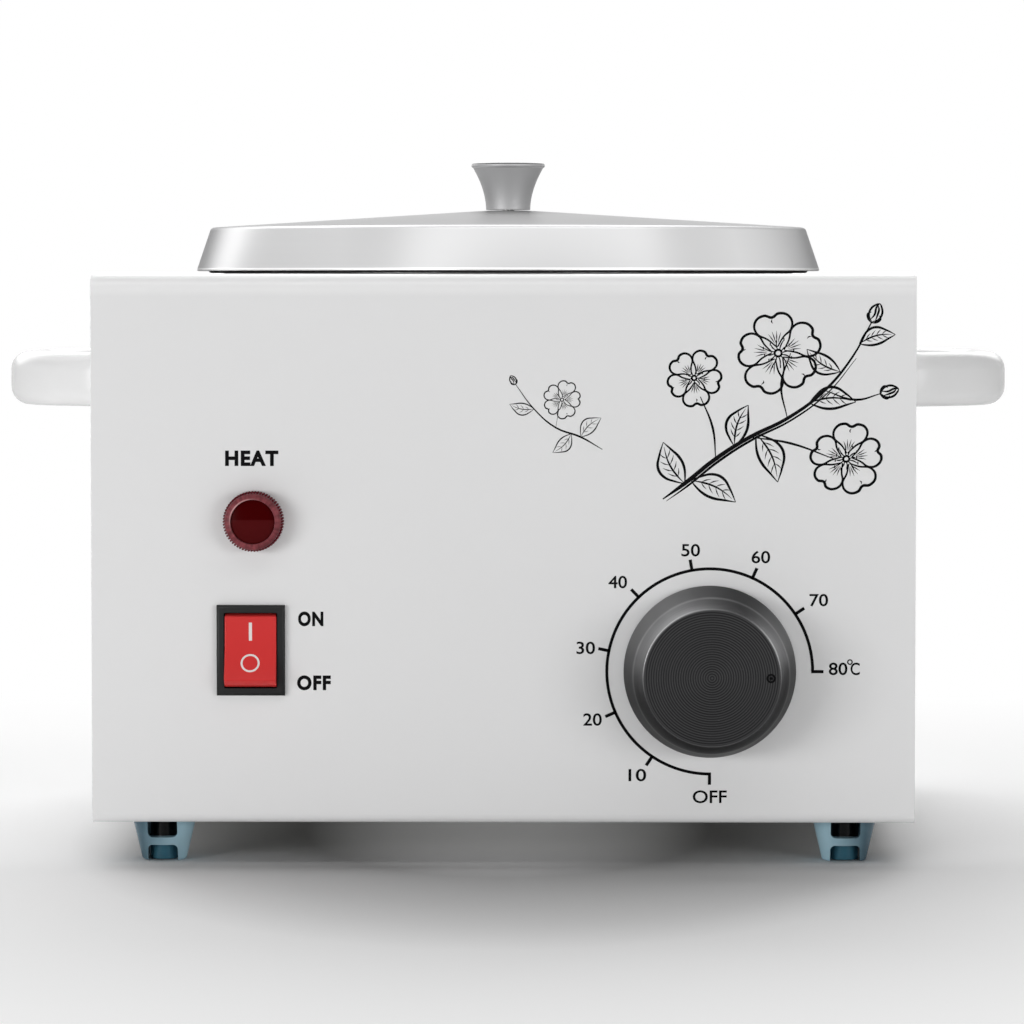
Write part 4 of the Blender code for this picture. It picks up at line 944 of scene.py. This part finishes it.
# The dial: a hollow skirt that leans in to a crest, a turned shoulder and a flat face with a
# ring and a dot for its mark.
def dialShell():
    low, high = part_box("dial_knob")
    look = dialSettings
    centre = Vector((dialCentre.x, high.y, dialCentre.z))
    top = high.y - low.y
    under = top - 2 * look.wall
    crest, height, soft = look.crest, look.crestHeight, look.round
    base, (inset, rise) = look.base, look.baseEdge
    profile = [(0, top)]
    profile += arc((look.face - soft, top - soft), soft, 90, 30, 5)
    profile.append((look.swell[0], top - look.swell[1]))
    profile += arc((crest - soft, height + soft), soft, 15, -10, 4)
    profile += [(base - inset, rise), (base - inset, inset), (base - rise, 0),
                (base - look.wall, 0), (crest - look.wall, height),
                (look.face - look.wall, under), (look.hub, under),
                (look.hub, look.hubLow), (look.shaft, look.hubLow),
                (look.shaft, under), (0, under)]
    dial = loose("dialShell", turnedShape(profile, centre, front, look.steps))
    spot = Vector((centre.x + look.markOffset, low.y, centre.z))
    mark, outer = look.mark, look.markRing
    deep, raised = look.markDepth, look.markRise
    shaped(dial, [rod(spot, mark, 2 * deep, front, 32)])
    dress(steadyNormals(dial), "graphite", "dial", "graphite_plastic", "dial_knob")
    ring = ringShape(spot, front, mark, outer, -deep, raised, 32)
    dress(loose("dialMark", ring), "ink", "dial", "graphite_plastic")
    dot = rod(spot + back * look.dotLift, look.markDot, look.dotHeight, front, 24)
    dress(loose("dialDot", dot), "ink", "dial", "graphite_plastic")


caseWrap()
sidePan(-1)
sidePan(1)
carryHandle(-1)
carryHandle(1)
print("case made")
for footName in footNames:
    rubberFoot(footName)
print("feet made")
wellShell()
waxPotShell()
lidShell()
lidKnob()
print("bath and lid made")
dialShell()

switchSettings = Settings(
    chamfer=0.0011, sheetGap=0.0003, bodyInset=(0.0013, 0.0013), bodyStart=0.0012,
    rocker=(0.0167, 0.0116), play=0.0003, wellRise=0.002, wellDepth=0.0070, wellCorner=0.0006,
    pin=0.00155, pinPast=0.0018, valley=0.0030, faceReach=0.0103, back=0.0030, backEdge=0.0028,
    throw=22.0, round=0.0005, roundBefore=-0.002, barAway=0.0056, barHeight=0.00585,
    barWidth=0.00102, ringAway=0.0048, ringRadius=0.00275, ringLine=0.00064, markRise=0.00005)
rockerPivot = Vector(joints["rocker_tilt"]["pos_m"])
rockerTilt = radians(switchSettings.throw / 2)
rockerRadius = sqrt(switchSettings.rocker[1] ** 2 + switchSettings.backEdge ** 2)


# A frame with chamfered edges round the rocker, on a body that passes through the sheet.
def switchFrame():
    low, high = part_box("switch_bezel")
    look = switchSettings
    width, play = look.rocker[0], look.play
    plate = blockBetween((low, high), (0, 0), low.y, frontY - look.sheetGap)
    bevelled(plate, look.chamfer, 3, lambda edge: liesOn(edge, 1, low.y))
    bezel = loose("switchFrame", plate)
    shaped(bezel, [blockBetween((low, high), look.bodyInset, low.y + look.bodyStart,
                                high.y)], 'UNION')
    well = blockBetween((rockerPivot, rockerPivot), (-width / 2 - play, -rockerRadius - play),
                        low.y - look.wellRise, rockerPivot.y + look.wellDepth)
    bevelled(well, look.wellCorner, 3, lambda edge: runsAlong(edge, 1))
    shaped(bezel, [well, rod(rockerPivot, look.pin, width + look.pinPast, right, 24)])
    dress(steadyNormals(bezel), "switchBlack", "housing", "black_plastic", "switch_bezel")


# The rocker at rest, pressed in at its upper end: two flats that meet in a shallow valley.
def rockerPaddle():
    look = switchSettings
    width, half = look.rocker
    face = look.valley + look.faceReach * tan(rockerTilt)
    upper = [(-face, look.faceReach), (-look.backEdge, half)]
    start = look.back / rockerRadius
    upper += [(-rockerRadius * sin(start * share), rockerRadius * cos(start * share))
              for share in (0.5, 0, -0.5, -1)]
    outline = [(-look.valley, 0)] + upper + [(y, -z) for y, z in reversed(upper)]
    bm = startShape([(-width / 2, y, z) for y, z in outline], True)
    filled = bmesh.ops.contextual_create(bm, geom=bm.edges[:])
    drawnOut(bm, bmesh.ops.extrude_face_region(bm, geom=filled["faces"]), width)
    bevelled(bm, look.round, 3, lambda edge: bentMore(edge, 25)
             and all(vert.co.y < look.roundBefore for vert in edge.verts))
    paddle = loose("rockerPaddle", moved(turned(bm, -rockerTilt, 'X'), rockerPivot), 25)
    dress(steadyNormals(paddle), "rockerRed", "rocker", "red_plastic", "switch_rocker")


# The bar and the ring lie on the two flats, which turn with the rocker.
def rockerMarks():
    look = switchSettings
    rise, half = look.markRise, look.ringLine / 2
    wide, tall = look.barWidth / 2, look.barHeight / 2
    bar = blockShape((-wide, -rise, -tall), (wide, rise, tall))
    ring = ringShape((0, 0, 0), front, look.ringRadius - half, look.ringRadius + half,
                     -rise, rise, 48)
    for name, bm, side, away in (("barMark", bar, 1, look.barAway),
                                 ("ringMark", ring, -1, look.ringAway)):
        turned(moved(bm, (0, 0, side * away)), side * rockerTilt, 'X')
        turned(moved(bm, (0, -look.valley, 0)), -rockerTilt, 'X')
        dress(loose(name, moved(bm, rockerPivot)), "markWhite", "rocker", "red_plastic")


signalSettings = Settings(
    radius=0.0099, face=0.0071, faceEdge=0.0003, sunk=0.0009, teeth=62, tooth=0.00078,
    toothWidth=0.00036, toothTip=0.00031, toothShare=0.35, toothStart=0.0003, foot=0.0004,
    bodyRoom=0.0083, nose=0.0033, rim=0.0016, discGap=0.00003, disc=0.0006, discEdge=0.0002)


# The signal lamp's head: a toothed ring of tinted plastic round a dark sunk face.
def lampHead():
    low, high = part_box("lamp_lens")
    look = signalSettings
    middle = (low + high) / 2
    centre = Vector((middle.x, high.y, middle.z))
    height = high.y - low.y
    root, foot = look.radius - look.tooth, look.foot
    face, soft, rim = look.face, look.faceEdge, look.rim
    profile = [(face, height - look.sunk)]
    profile += arc((face + soft, height - soft), soft, 180, 90, 4)
    profile += arc((root - rim, height - rim), rim, 90, 10, 8)
    profile += [(root, foot), (root - foot, 0), (look.bodyRoom, 0),
                (look.bodyRoom, look.nose), (face, look.nose)]
    head = loose("lampRing", turnedShape(profile, centre, front, 128, True))
    dress(smoothed(head), "lampRing", "housing", "lamp_red", "lamp_lens")
    long = height - rim - foot
    teeth = bmesh.new()
    for i in range(look.teeth):
        made = bmesh.ops.create_cone(teeth, cap_ends=True, segments=8, depth=long,
                                     radius1=look.toothWidth, radius2=look.toothTip)
        angle = i * 2 * pi / look.teeth
        ray = Vector((cos(angle), 0, sin(angle)))
        spot = centre + ray * (root + look.tooth * look.toothShare)
        spot.y -= look.toothStart + long / 2
        bmesh.ops.transform(teeth, verts=made["verts"], matrix=Matrix.Translation(spot)
                            @ Matrix.Rotation(pi / 2, 4, 'X'))
    dress(loose("lampTeeth", teeth), "lampTooth", "housing", "lamp_red")
    level = centre.y - height + look.sunk + look.disc / 2
    disc = rod((centre.x, level, centre.z), face - look.discGap, look.disc, front, 96)
    bevelled(disc, look.discEdge, 2, lambda edge: bentMore(edge, 40))
    dress(loose("lampFace", disc), "lampFace", "housing", "lamp_red")


inletSettings = Settings(
    sheetGap=0.0003, edge=0.0011, flangeCorner=0.0030, bodyInset=(0.01125, 0.00185),
    bodySunk=0.0015, wall=0.0015, floor=0.004, corner=0.0045, softCorner=0.0008, past=0.002,
    pinRoom=0.0003, screwRoom=0.0031, screwHole=0.0018, screwReach=0.012, headReach=0.0042)


# The appliance inlet: a flange with two screw seats and a mouth with two cut corners.
def inletShell():
    box = low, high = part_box("inlet_socket")
    look = inletSettings
    wall, past, room = look.wall, look.past, look.pinRoom
    inset, floor = look.bodyInset, low.y + look.floor
    flange = blockBetween(box, (0, 0), backY + look.sheetGap, high.y)
    bevelled(flange, look.flangeCorner, 5, lambda edge: runsAlong(edge, 1))
    bevelled(flange, look.edge, 4, lambda edge: liesOn(edge, 1, high.y))
    shell = loose("inletShell", flange)
    shaped(shell, [blockBetween(box, inset, low.y, high.y - look.bodySunk)], 'UNION')
    mouth = blockBetween(box, (inset[0] + wall, inset[1] + wall), floor, high.y + 2 * past)
    middleZ = (low.z + high.z) / 2
    bevelled(mouth, look.corner, 1,
             lambda edge: runsAlong(edge, 1) and edge.verts[0].co.z > middleZ)
    bevelled(mouth, look.softCorner, 2, lambda edge: runsAlong(edge, 1) and bentMore(edge, 60))
    tools = [mouth]
    tools += [blockBetween(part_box("inlet_pin_" + pin), (-room, -room), low.y - past, floor + past)
              for pin in ("live", "neutral", "earth")]
    for name in ("inlet_screw_left", "inlet_screw_right"):
        tools.append(drilled(name, back, backY, look.screwHole, look.screwReach))
        tools.append(drilled(name, back, high.y, look.screwRoom, look.headReach, 32))
    shaped(shell, tools)
    dress(steadyNormals(shell), "mattBlack", "housing", "black_plastic", "inlet_socket")


# The head's profile is in shares of its radius and its rise. Each size of screw is the largest
# radius of its head, the head's rise and the shank's radius.
screwSettings = Settings(
    head=((0.5, 0.06), (0.82, 0.28), (0.97, 0.58), (1, 0.8), (1, 1)), tip=(0.6, 0.4),
    slotReach=0.62, slotWidth=0.17, slotDepth=0.5,
    sizes=((0.003, 0.0018, 0.0015), (0.004, 0.0024, 0.0020), (0.006, 0.0030, 0.0025)), steps=40)


# A pan-head screw with a cross recess, over the plain one in the frame.
def crossScrew(name, axis, body="housing"):
    low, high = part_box(name)
    look = screwSettings
    across = 0 if abs(axis.x) < 0.5 else 1
    head = (high[across] - low[across]) / 2
    rise, shank = next(size[1:] for size in look.sizes if head < size[0])
    half = abs((high - low).dot(axis)) / 2
    top = (low + high) / 2 + axis * half
    point, taper = look.tip
    profile = [(0, 0)] + [(head * wide, -rise * deep) for wide, deep in look.head]
    profile += [(shank, -rise), (shank, -2 * half + shank * taper), (shank * point, -2 * half),
                (0, -2 * half)]
    screw = loose(name.replace("_", "") + "Cross", turnedShape(profile, top, axis, look.steps))
    reach = Vector((head * look.slotReach, head * look.slotWidth, rise * look.slotDepth))
    upright = Matrix.Translation(top) @ up.rotation_difference(axis).to_matrix().to_4x4()
    tools = []
    for turn in (0, pi / 2):
        slot = blockShape(-reach, reach)
        bmesh.ops.transform(slot, matrix=upright @ Matrix.Rotation(turn, 4, 'Z'),
                            verts=slot.verts)
        tools.append(slot)
    shaped(screw, tools)
    dress(steadyNormals(screw), "zincPlate", body, "zinc_plate", name)


switchFrame()
rockerPaddle()
rockerMarks()
lampHead()
inletShell()
for nodeName in sorted(nodes):
    if nodeName.startswith(("panel_screw", "inlet_screw")):
        crossScrew(nodeName, back)
    elif nodeName.startswith("foot_screw"):
        crossScrew(nodeName, -up)
    elif nodeName == "lid_screw":
        crossScrew(nodeName, -up, "lid")
print("controls, inlet and screws made")

# Every node of the frame that still shows takes the look of its slot.
slotLooks = {
    "white_paint": "whitePaint", "white_plastic": "whiteMoulding",
    "satin_aluminium": "spunAluminium", "zinc_plate": "zincPlate", "blue_rubber": "footRubber",
    "graphite_plastic": "graphite", "black_plastic": "switchBlack", "red_plastic": "rockerRed",
    "lamp_red": "lampRing", "brass": "contactBrass", "copper": "copperTube",
    "glass_wool": "glassFelt", "ceramic": "steatite", "wire_brown": "brownSleeve",
    "wire_blue": "blueSleeve", "wire_yellow": "greenSleeve",
}
for subpart in frame["record"]["subparts"]:
    cadItem = nodes[subpart["node"]]
    cadItem.data.materials.clear()
    cadItem.data.materials.append(looks[slotLooks[subpart["material_slot"]]])
print("inner parts finished")

printSettings = Settings(
    letterSteps=5, letterDepth=0.01, lift=0.00004, thickness=0.00006, weld=0.0000005,
    scaleRadius=0.0332, scaleLine=0.00096, scaleTurn=270, scaleSteps=96, tick=0.0035,
    tickLine=0.00102, ticks=(0, 33.9, 66.5, 101.6, 136.3, 170.0, 204.4, 236.0, 270.0),
    degree=(0.00052, 0.00092), degreeRise=0.00003, degreeOffset=(0.0452, 0.0031))
# Lettering by the node that it stands beside: the weight of its strokes and its spacing.
letterSettings = {"dial_knob": (0.013, 1.0), "lamp_lens": (0.046, 1.14),
                  "switch_bezel": (0.046, 1.14)}
# Words, the node that each lies beside, and in millimetres how far its middle is from the
# node's along and up the front, and its width and height.
labels = [("HEAT", "lamp_lens", (-0.7, 20.2), (17.2, 5.0)),
          ("ON", "switch_bezel", (19.3, 10.1), (8.2, 4.8)),
          ("OFF", "switch_bezel", (20.3, -10.6), (10.9, 4.87)),
          ("OFF", "dial_knob", (0.1, -40.6), (11.0, 4.2)),
          ("10", "dial_knob", (-23.3, -33.6), (5.7, 4.06)),
          ("20", "dial_knob", (-37.8, -15.6), (6.0, 4.06)),
          ("30", "dial_knob", (-40.0, 7.6), (6.0, 4.06)),
          ("40", "dial_knob", (-29.7, 28.9), (6.0, 4.06)),
          ("50", "dial_knob", (-6.2, 39.2), (6.0, 4.06)),
          ("60", "dial_knob", (16.4, 37.0), (6.0, 4.06)),
          ("70", "dial_knob", (35.1, 23.1), (6.0, 4.06)),
          ("80", "dial_knob", (41.4, 0.9), (6.0, 4.06)),
          ("C", "dial_knob", (46.9, 0.9), (3.0, 4.06))]


# Lays a flat shape, drawn in the XY plane in metres, on the front sheet as a print. With a
# size it is centred and stretched to it; without one its origin goes to the place.
def printed(name, mesh, middle, size=None):
    bm = bmesh.new()
    bm.from_mesh(mesh)
    bpy.data.meshes.remove(mesh)
    spots = [vert.co for vert in bm.verts]
    lows = [min(spot[i] for spot in spots) for i in range(3)]
    highs = [max(spot[i] for spot in spots) for i in range(3)]
    shift = [(lows[i] + highs[i]) / -2 for i in range(3)]
    scale = [1.0, 1.0, printSettings.thickness / (highs[2] - lows[2])]
    if size:
        scale[:2] = [size[i] / (highs[i] - lows[i]) for i in range(2)]
    else:
        shift[:2] = [0, 0]
    bmesh.ops.scale(moved(bm, shift), vec=scale, verts=bm.verts)
    moved(turned(bm, pi / 2, 'X'), (middle[0], frontY - printSettings.lift, middle[1]))
    bmesh.ops.remove_doubles(bm, verts=bm.verts, dist=printSettings.weld)
    dress(loose(name, bm, 30), "ink", "housing", "black_plastic")


def flatMesh(curve):
    holder = added("drawing", curve)
    mesh = madeMesh(holder)
    bpy.data.objects.remove(holder)
    return mesh


for count, (words, beside, offset, size) in enumerate(labels):
    lettering = bpy.data.curves.new("lettering", 'FONT')
    lettering.body = words
    lettering.size = 1.0
    lettering.resolution_u = printSettings.letterSteps
    lettering.render_resolution_u = printSettings.letterSteps
    lettering.extrude = printSettings.letterDepth
    lettering.bevel_resolution = 0
    lettering.bevel_depth, lettering.space_character = letterSettings[beside]
    labelSpot = middleOf(beside)
    printed("label%02d" % count, flatMesh(lettering),
            (labelSpot.x + offset[0] / 1000, labelSpot.z + offset[1] / 1000),
            [value / 1000 for value in size])


# The dial's scale: an arc of three quarters of a turn, with nine ticks and a degree ring.
def dialScale():
    look = printSettings
    half, wide = look.scaleLine / 2, look.tickLine / 2
    radius, level = look.scaleRadius, frontY - look.lift
    near, far = level - look.thickness / 2, level + look.thickness / 2
    bm = startShape([(0, far, -radius - half), (0, far, -radius + half),
                     (0, near, -radius + half), (0, near, -radius - half)], True)
    bmesh.ops.spin(bm, geom=bm.verts[:] + bm.edges[:], cent=(0, 0, 0), axis=back,
                   angle=radians(look.scaleTurn), steps=look.scaleSteps, use_merge=False,
                   use_duplicate=False)
    bmesh.ops.holes_fill(bm, edges=[edge for edge in bm.edges if edge.is_boundary], sides=4)
    for turn in look.ticks:
        tick = blockShape((-wide, near, -radius - look.tick), (wide, far, -radius + half))
        part = meshOf("tick", turned(tick, radians(turn), 'Y'))
        bm.from_mesh(part)
        bpy.data.meshes.remove(part)
    moved(bm, (dialCentre.x, 0, dialCentre.z))
    bmesh.ops.recalc_face_normals(bm, faces=bm.faces)
    dress(loose("dialScale", bm), "ink", "housing", "black_plastic")
    (inner, outer), rise = look.degree, look.degreeRise
    across, above = look.degreeOffset
    ring = ringShape((dialCentre.x + across, level, dialCentre.z + above), front, inner, outer,
                     -rise, rise, 32)
    dress(loose("degreeRing", ring), "ink", "housing", "black_plastic")


dialScale()
print("lettering and scale printed")

# The line drawing on the front. Its strokes swell and thin, and are drawn in millimetres.
drawingSettings = Settings(steps=5, sides=1, unit=0.001)
# The shapes that it repeats. A leaf's points are shares of its length and its width, a petal's
# are shares of the blossom's radius and the petal's angle, and a bud's are shares of its length.
leafSide = ((0, 0), (0.13, 0.22), (0.34, 0.46), (0.56, 0.48), (0.80, 0.25), (1.0, 0.0))
leafBow = 0.10
petalEdge = ((0.16, -0.10), (0.42, -0.72), (0.72, -0.98), (0.95, -0.70), (1.0, -0.28),
             (0.91, 0.0), (1.0, 0.28), (0.95, 0.70), (0.72, 0.98), (0.42, 0.72), (0.16, 0.10))
budShapes = (((0.0, 0.0), (0.25, 0.26), (0.6, 0.30), (0.9, 0.12), (1.0, 0.0)),
             ((0.0, 0.0), (0.25, -0.26), (0.6, -0.30), (0.9, -0.12), (1.0, 0.0)),
             ((0.12, 0.10), (0.4, 0.02), (0.75, 0.08), (0.97, 0.02)),
             ((0.15, -0.14), (0.45, -0.12), (0.7, -0.08), (0.86, 0.03)),
             ((-0.05, 0.0), (0.08, 0.22), (0.30, 0.34), (0.45, 0.22)),
             ((-0.05, 0.0), (0.08, -0.22), (0.30, -0.34), (0.45, -0.22)))


# One stroke: points, the full width at its thickest, and where along it that is.
def stroke(points, width, swell=0.5, thin=0.25):
    made = []
    last = len(points) - 1
    for i, point in enumerate(points):
        share = i / last
        near = share / swell if share < swell else (1 - share) / (1 - swell)
        made.append((point, width * (thin + (1 - thin) * sin(near * pi / 2)) / 2))
    return made


def swung(point, angle, centre=(0, 0)):
    c, s = cos(angle), sin(angle)
    return (centre[0] + point[0] * c - point[1] * s, centre[1] + point[0] * s + point[1] * c)


# A leaf on its stalk: two sides that meet in a point, a midrib and curved side veins.
def leafStrokes(line, root, angle, length, width, veins=4):
    def drawn(points, *weights):
        bowed = [(x * length, y + leafBow * length * sin(pi * x)) for x, y in points]
        return stroke([swung(point, angle, root) for point in bowed], *weights)

    made = [drawn([(x, side * y * width) for x, y in leafSide], line, 0.55) for side in (1, -1)]
    made.append(drawn([(x, 0) for x in (0, 0.25, 0.5, 0.72, 0.9)], line * 0.7, 0.3, 0.15))
    for i in range(veins):
        x = 0.2 + 0.6 * i / veins
        for side in (1, -1):
            reach = side * width * (0.34 - 0.22 * abs(x - 0.42) * 2)
            vein = [(x, 0), (x + 0.07, reach * 0.55), (x + 0.16, reach)]
            made.append(drawn(vein, line * 0.5, 0.2, 0.15))
    return made


# An open blossom: five notched petals with fine lines, stamens with dots, and a small eye.
def blossomStrokes(line, centre, radius, turn, squash=1.0, stamens=10):
    def at(distance, angle):
        x, y = distance * radius * cos(angle), distance * radius * sin(angle) * squash
        return swung((x, y), turn * 0.4, centre)

    made = []
    wide = radians(36)
    for i in range(5):
        base = turn + i * 2 * pi / 5
        size = 1.0 + 0.06 * sin(i * 2.3 + turn)
        made.append(stroke([at(distance * size, base + share * wide)
                            for distance, share in petalEdge], line, 0.5, 0.45))
        for share in (-0.45, -0.15, 0.15, 0.45):
            start, end = 0.26, 0.60 - 0.12 * abs(share)
            fine = [(start, 0.5), ((start + end) / 2, 0.8), (end, 1)]
            made.append(stroke([at(distance, base + share * wide * part)
                                for distance, part in fine], line * 0.45, 0.2, 0.15))
        made.append(stroke([at(0.78, base), at(0.83, base + 0.03), at(0.90, base)],
                           line * 0.5, 0.6, 0.2))
    for i in range(stamens):
        angle = turn + 0.2 + i * 2 * pi / stamens
        reach = 0.30 + 0.05 * sin(i * 1.9)
        made.append(stroke([at(0.10, angle), at(0.2, angle + 0.08), at(reach, angle)],
                           line * 0.5, 0.5, 0.6))
        x, y = at(reach + 0.03, angle)
        made.append([((x + side * line * 0.2, y), line * 0.5) for side in (-1, 1)])
    eye = [at(0.085, 2 * pi * i / 8) for i in range(9)]
    made.append(stroke(eye, line * 0.8, 0.5, 0.9))
    return made


# A closed bud: an egg of three petals in a cup of two sepals.
def budStrokes(line, root, angle, length):
    return [stroke([swung((x * length, y * length), angle, root) for x, y in shape], line, 0.5,
                   0.35) for shape in budShapes]


# A stem, with a finer line beside it where it is double.
def stemStrokes(line, points, double=0.0):
    made = [stroke(points, line, 0.15, 0.3)]
    if double:
        shifted = [(x + double, y - double * 0.6) for x, y in points[:-1]]
        made.append(stroke(shifted, line * 0.6, 0.3, 0.2))
    return made


# Draws every row of a spray: its kind of strokes, their weight and then their own values.
def lineDrawing(name, line, place, rows):
    curve = bpy.data.curves.new(name, 'CURVE')
    curve.dimensions = '3D'
    curve.resolution_u = drawingSettings.steps
    curve.render_resolution_u = drawingSettings.steps
    curve.bevel_depth = drawingSettings.unit
    curve.bevel_resolution = drawingSettings.sides
    curve.use_fill_caps = True
    for strokes, weight, *values in rows:
        for points in strokes(line * weight, *values):
            spline = curve.splines.new('BEZIER')
            spline.bezier_points.add(len(points) - 1)
            for spot, ((x, y), radius) in zip(spline.bezier_points, points):
                spot.co = (x / 1000, y / 1000, 0)
                spot.radius = radius
                spot.handle_left_type = 'AUTO'
                spot.handle_right_type = 'AUTO'
    printed(name, flatMesh(curve), (place[0], caseHigh.z - place[1]))


# The large spray fills the upper right of the front: a bent branch from lower left.
largeSpray = [
    (stemStrokes, 1.5, [(3, 4), (10, 9), (20, 17), (31, 24), (43, 30), (55, 39), (64, 50),
                        (70, 61)], 1.1),
    (stemStrokes, 1, [(20, 17), (19, 27), (15, 37)]),
    (stemStrokes, 1, [(31, 24), (44, 22), (58, 17)]),
    (stemStrokes, 1, [(43, 30), (41, 41), (44, 51)]),
    (stemStrokes, 1, [(55, 39), (65, 36), (73, 38)]),
    (blossomStrokes, 1, (40, 51), 13.5, 0.35, 0.92, 12),
    (blossomStrokes, 1, (62, 17), 12.0, 1.05, 0.88, 12),
    (blossomStrokes, 0.9, (13, 43), 9.0, 0.75, 0.95, 9),
    (budStrokes, 0.8, (70, 61), 1.15, 6.5),
    (budStrokes, 0.8, (73, 38), 0.25, 6.0),
    (leafStrokes, 1, (10, 9), 2.05, 15, 8),
    (leafStrokes, 1, (12, 10), -0.45, 16, 7.5),
    (leafStrokes, 1, (26, 21), 1.25, 14, 7),
    (leafStrokes, 1, (33, 25), -1.15, 17, 8),
    (leafStrokes, 1, (50, 35), 0.02, 15, 7),
    (leafStrokes, 0.9, (60, 45), 2.55, 13, 6),
    (leafStrokes, 0.9, (66, 54), 0.25, 12, 5.5),
]


# The small sprig lies to its left, in a finer line.
smallSprig = [
    (stemStrokes, 1.5, [(31, 4), (24, 8), (16, 11), (9, 17), (3, 25)]),
    (stemStrokes, 1, [(16, 11), (17, 17)]),
    (blossomStrokes, 1, (18, 20), 6.2, 0.9, 0.92, 8),
    (leafStrokes, 1, (24, 8), 0.75, 9, 4.6, 3),
    (leafStrokes, 1, (21, 9), -2.35, 8.5, 4.2, 3),
    (leafStrokes, 1, (9, 17), 2.95, 8, 3.8, 3),
    (budStrokes, 0.9, (3, 25), 2.1, 3.2),
]


lineDrawing("largeSpray", 0.92, (0.0485, 0.0765), largeSpray)
lineDrawing("smallSprig", 0.42, (0.0010, 0.0605), smallSprig)
print("drawing printed")

# The floor's ring of painted shadow has its own colour and radii; the painted light under the object has a radius
# and a share.
stageSettings = Settings(
    floorColour=(0.94, 0.94, 0.94), fadeFrom=0.02, fadeTo=0.50, shadeColour=(0.46, 0.46, 0.46),
    shadeFrom=0.12, shadeTo=0.30, roundFrom=0.25, roundTo=0.75, stretch=2.0, under=0.14,
    glow=0.11, skyColour=(0.90, 0.90, 0.90), skyStrength=0.02)


# A pale floor that runs out to white behind the object, for the camera, in gloss and in glass.
# It has a painted shadow in a ring round the object, and a painted light right under it.
def floorStage():
    look = stageSettings
    bm = bmesh.new()
    bmesh.ops.create_grid(bm, x_segments=2, y_segments=2, size=6.0)
    item = loose("floor", bm)
    shader = newShader("paleFloor")
    coordinates = shader.node("ShaderNodeTexCoord", output="Object")
    across, depth = shader.split(coordinates)[:2]
    away = (across * across * look.stretch ** 2 + depth * depth).root()
    fade = ((depth - look.fadeFrom) / (look.fadeTo - look.fadeFrom)).clamp()
    rim = ((away - look.roundFrom) / (look.roundTo - look.roundFrom)).clamp()
    # Painted shadow in a ring round the object, lifted right under it.
    near = ((look.shadeTo - away) / (look.shadeTo - look.shadeFrom)).clamp()
    under = (1 - away * away / look.under ** 2).clamp()
    near = near * (1 - under)
    # The fade to white is the backdrop; the share under the object is painted light.
    paler = fade.larger(rim).larger(under * look.glow)
    plain = shader.node("ShaderNodeBsdfDiffuse", {}, {"Color": look.floorColour})
    paintedShadow = shader.node("ShaderNodeBsdfDiffuse", {}, {"Color": look.shadeColour})
    white = shader.node("ShaderNodeEmission", {}, {"Color": (1, 1, 1), "Strength": 1.0})
    seen = shader.seenDirectly()
    ground = shader.mixed(near * seen, plain, paintedShadow)
    item.data.materials.append(shader.surface(shader.mixed(paler * seen, ground, white)))


# White to the camera, in gloss and through glass; a soft pale sky to everything else.
def studioWorld():
    look = stageSettings
    world = bpy.data.worlds.new("studio")
    bpy.context.scene.world = world
    shader = Shader(world)
    sky = shader.node("ShaderNodeBackground", {},
                      {"Color": look.skyColour, "Strength": look.skyStrength})
    white = shader.node("ShaderNodeBackground", {}, {"Color": (1, 1, 1), "Strength": 1.0})
    shader.surface(shader.mixed(shader.seenDirectly(), sky, white))


# Each lamp's place, the point that it faces, its width and height, and its power in watts.
lampSetup = {
    "overhead": ((-0.60, 0.70, 2.00), (-0.60, 0.70, 0.0), (3.4, 1.6), 25.0),
    "backPanel": ((-0.60, 1.50, 1.28), (-0.60, 0.0, 1.28), (3.4, 1.45), 43.0),
    "leftPanel": ((-1.35, -1.72, 0.26), (0.0, 0.0, 0.10), (1.1, 0.44), 14.3),
    "rightPanel": ((1.35, -1.72, 0.26), (0.0, 0.0, 0.10), (1.1, 0.44), 9.1),
    "frontCard": ((0.25, -1.15, 1.40), (0.0, 0.0, 0.20), (3.0, 0.45), 6.0),
}


# Adds a lamp or the camera at a place, turned to face a point.
def facing(name, data, place, aim):
    item = added(name, data)
    item.location = place
    item.rotation_euler = (aim - place).to_track_quat('-Z', 'Y').to_euler()
    return item


def studioLamps():
    for name, (place, aim, size, watts) in lampSetup.items():
        data = bpy.data.lights.new(name, 'AREA')
        data.shape = 'RECTANGLE'
        data.size, data.size_y = size
        data.energy = watts
        facing(name, data, Vector(place), Vector(aim))


# The camera's place and aim are from the middle of the case's front edge on the floor.
cameraSettings = Settings(
    place=(0.0217, -1.5, 0.1908), aim=(0.0029, 0.0, 0.1151), lens=163.83, sensor=36.0,
    clip=(0.05, 50))


def studioCamera():
    look = cameraSettings
    data = bpy.data.cameras.new("camera")
    data.sensor_width = look.sensor
    data.lens = look.lens
    data.clip_start, data.clip_end = look.clip
    place, aim = [Vector(look[key]) + Vector((0, frontY, 0)) for key in ("place", "aim")]
    bpy.context.scene.camera = facing("camera", data, place, aim)


floorStage()
studioWorld()
studioLamps()
studioCamera()
bpy.context.scene.view_settings.view_transform = 'Standard'
print("studio set")
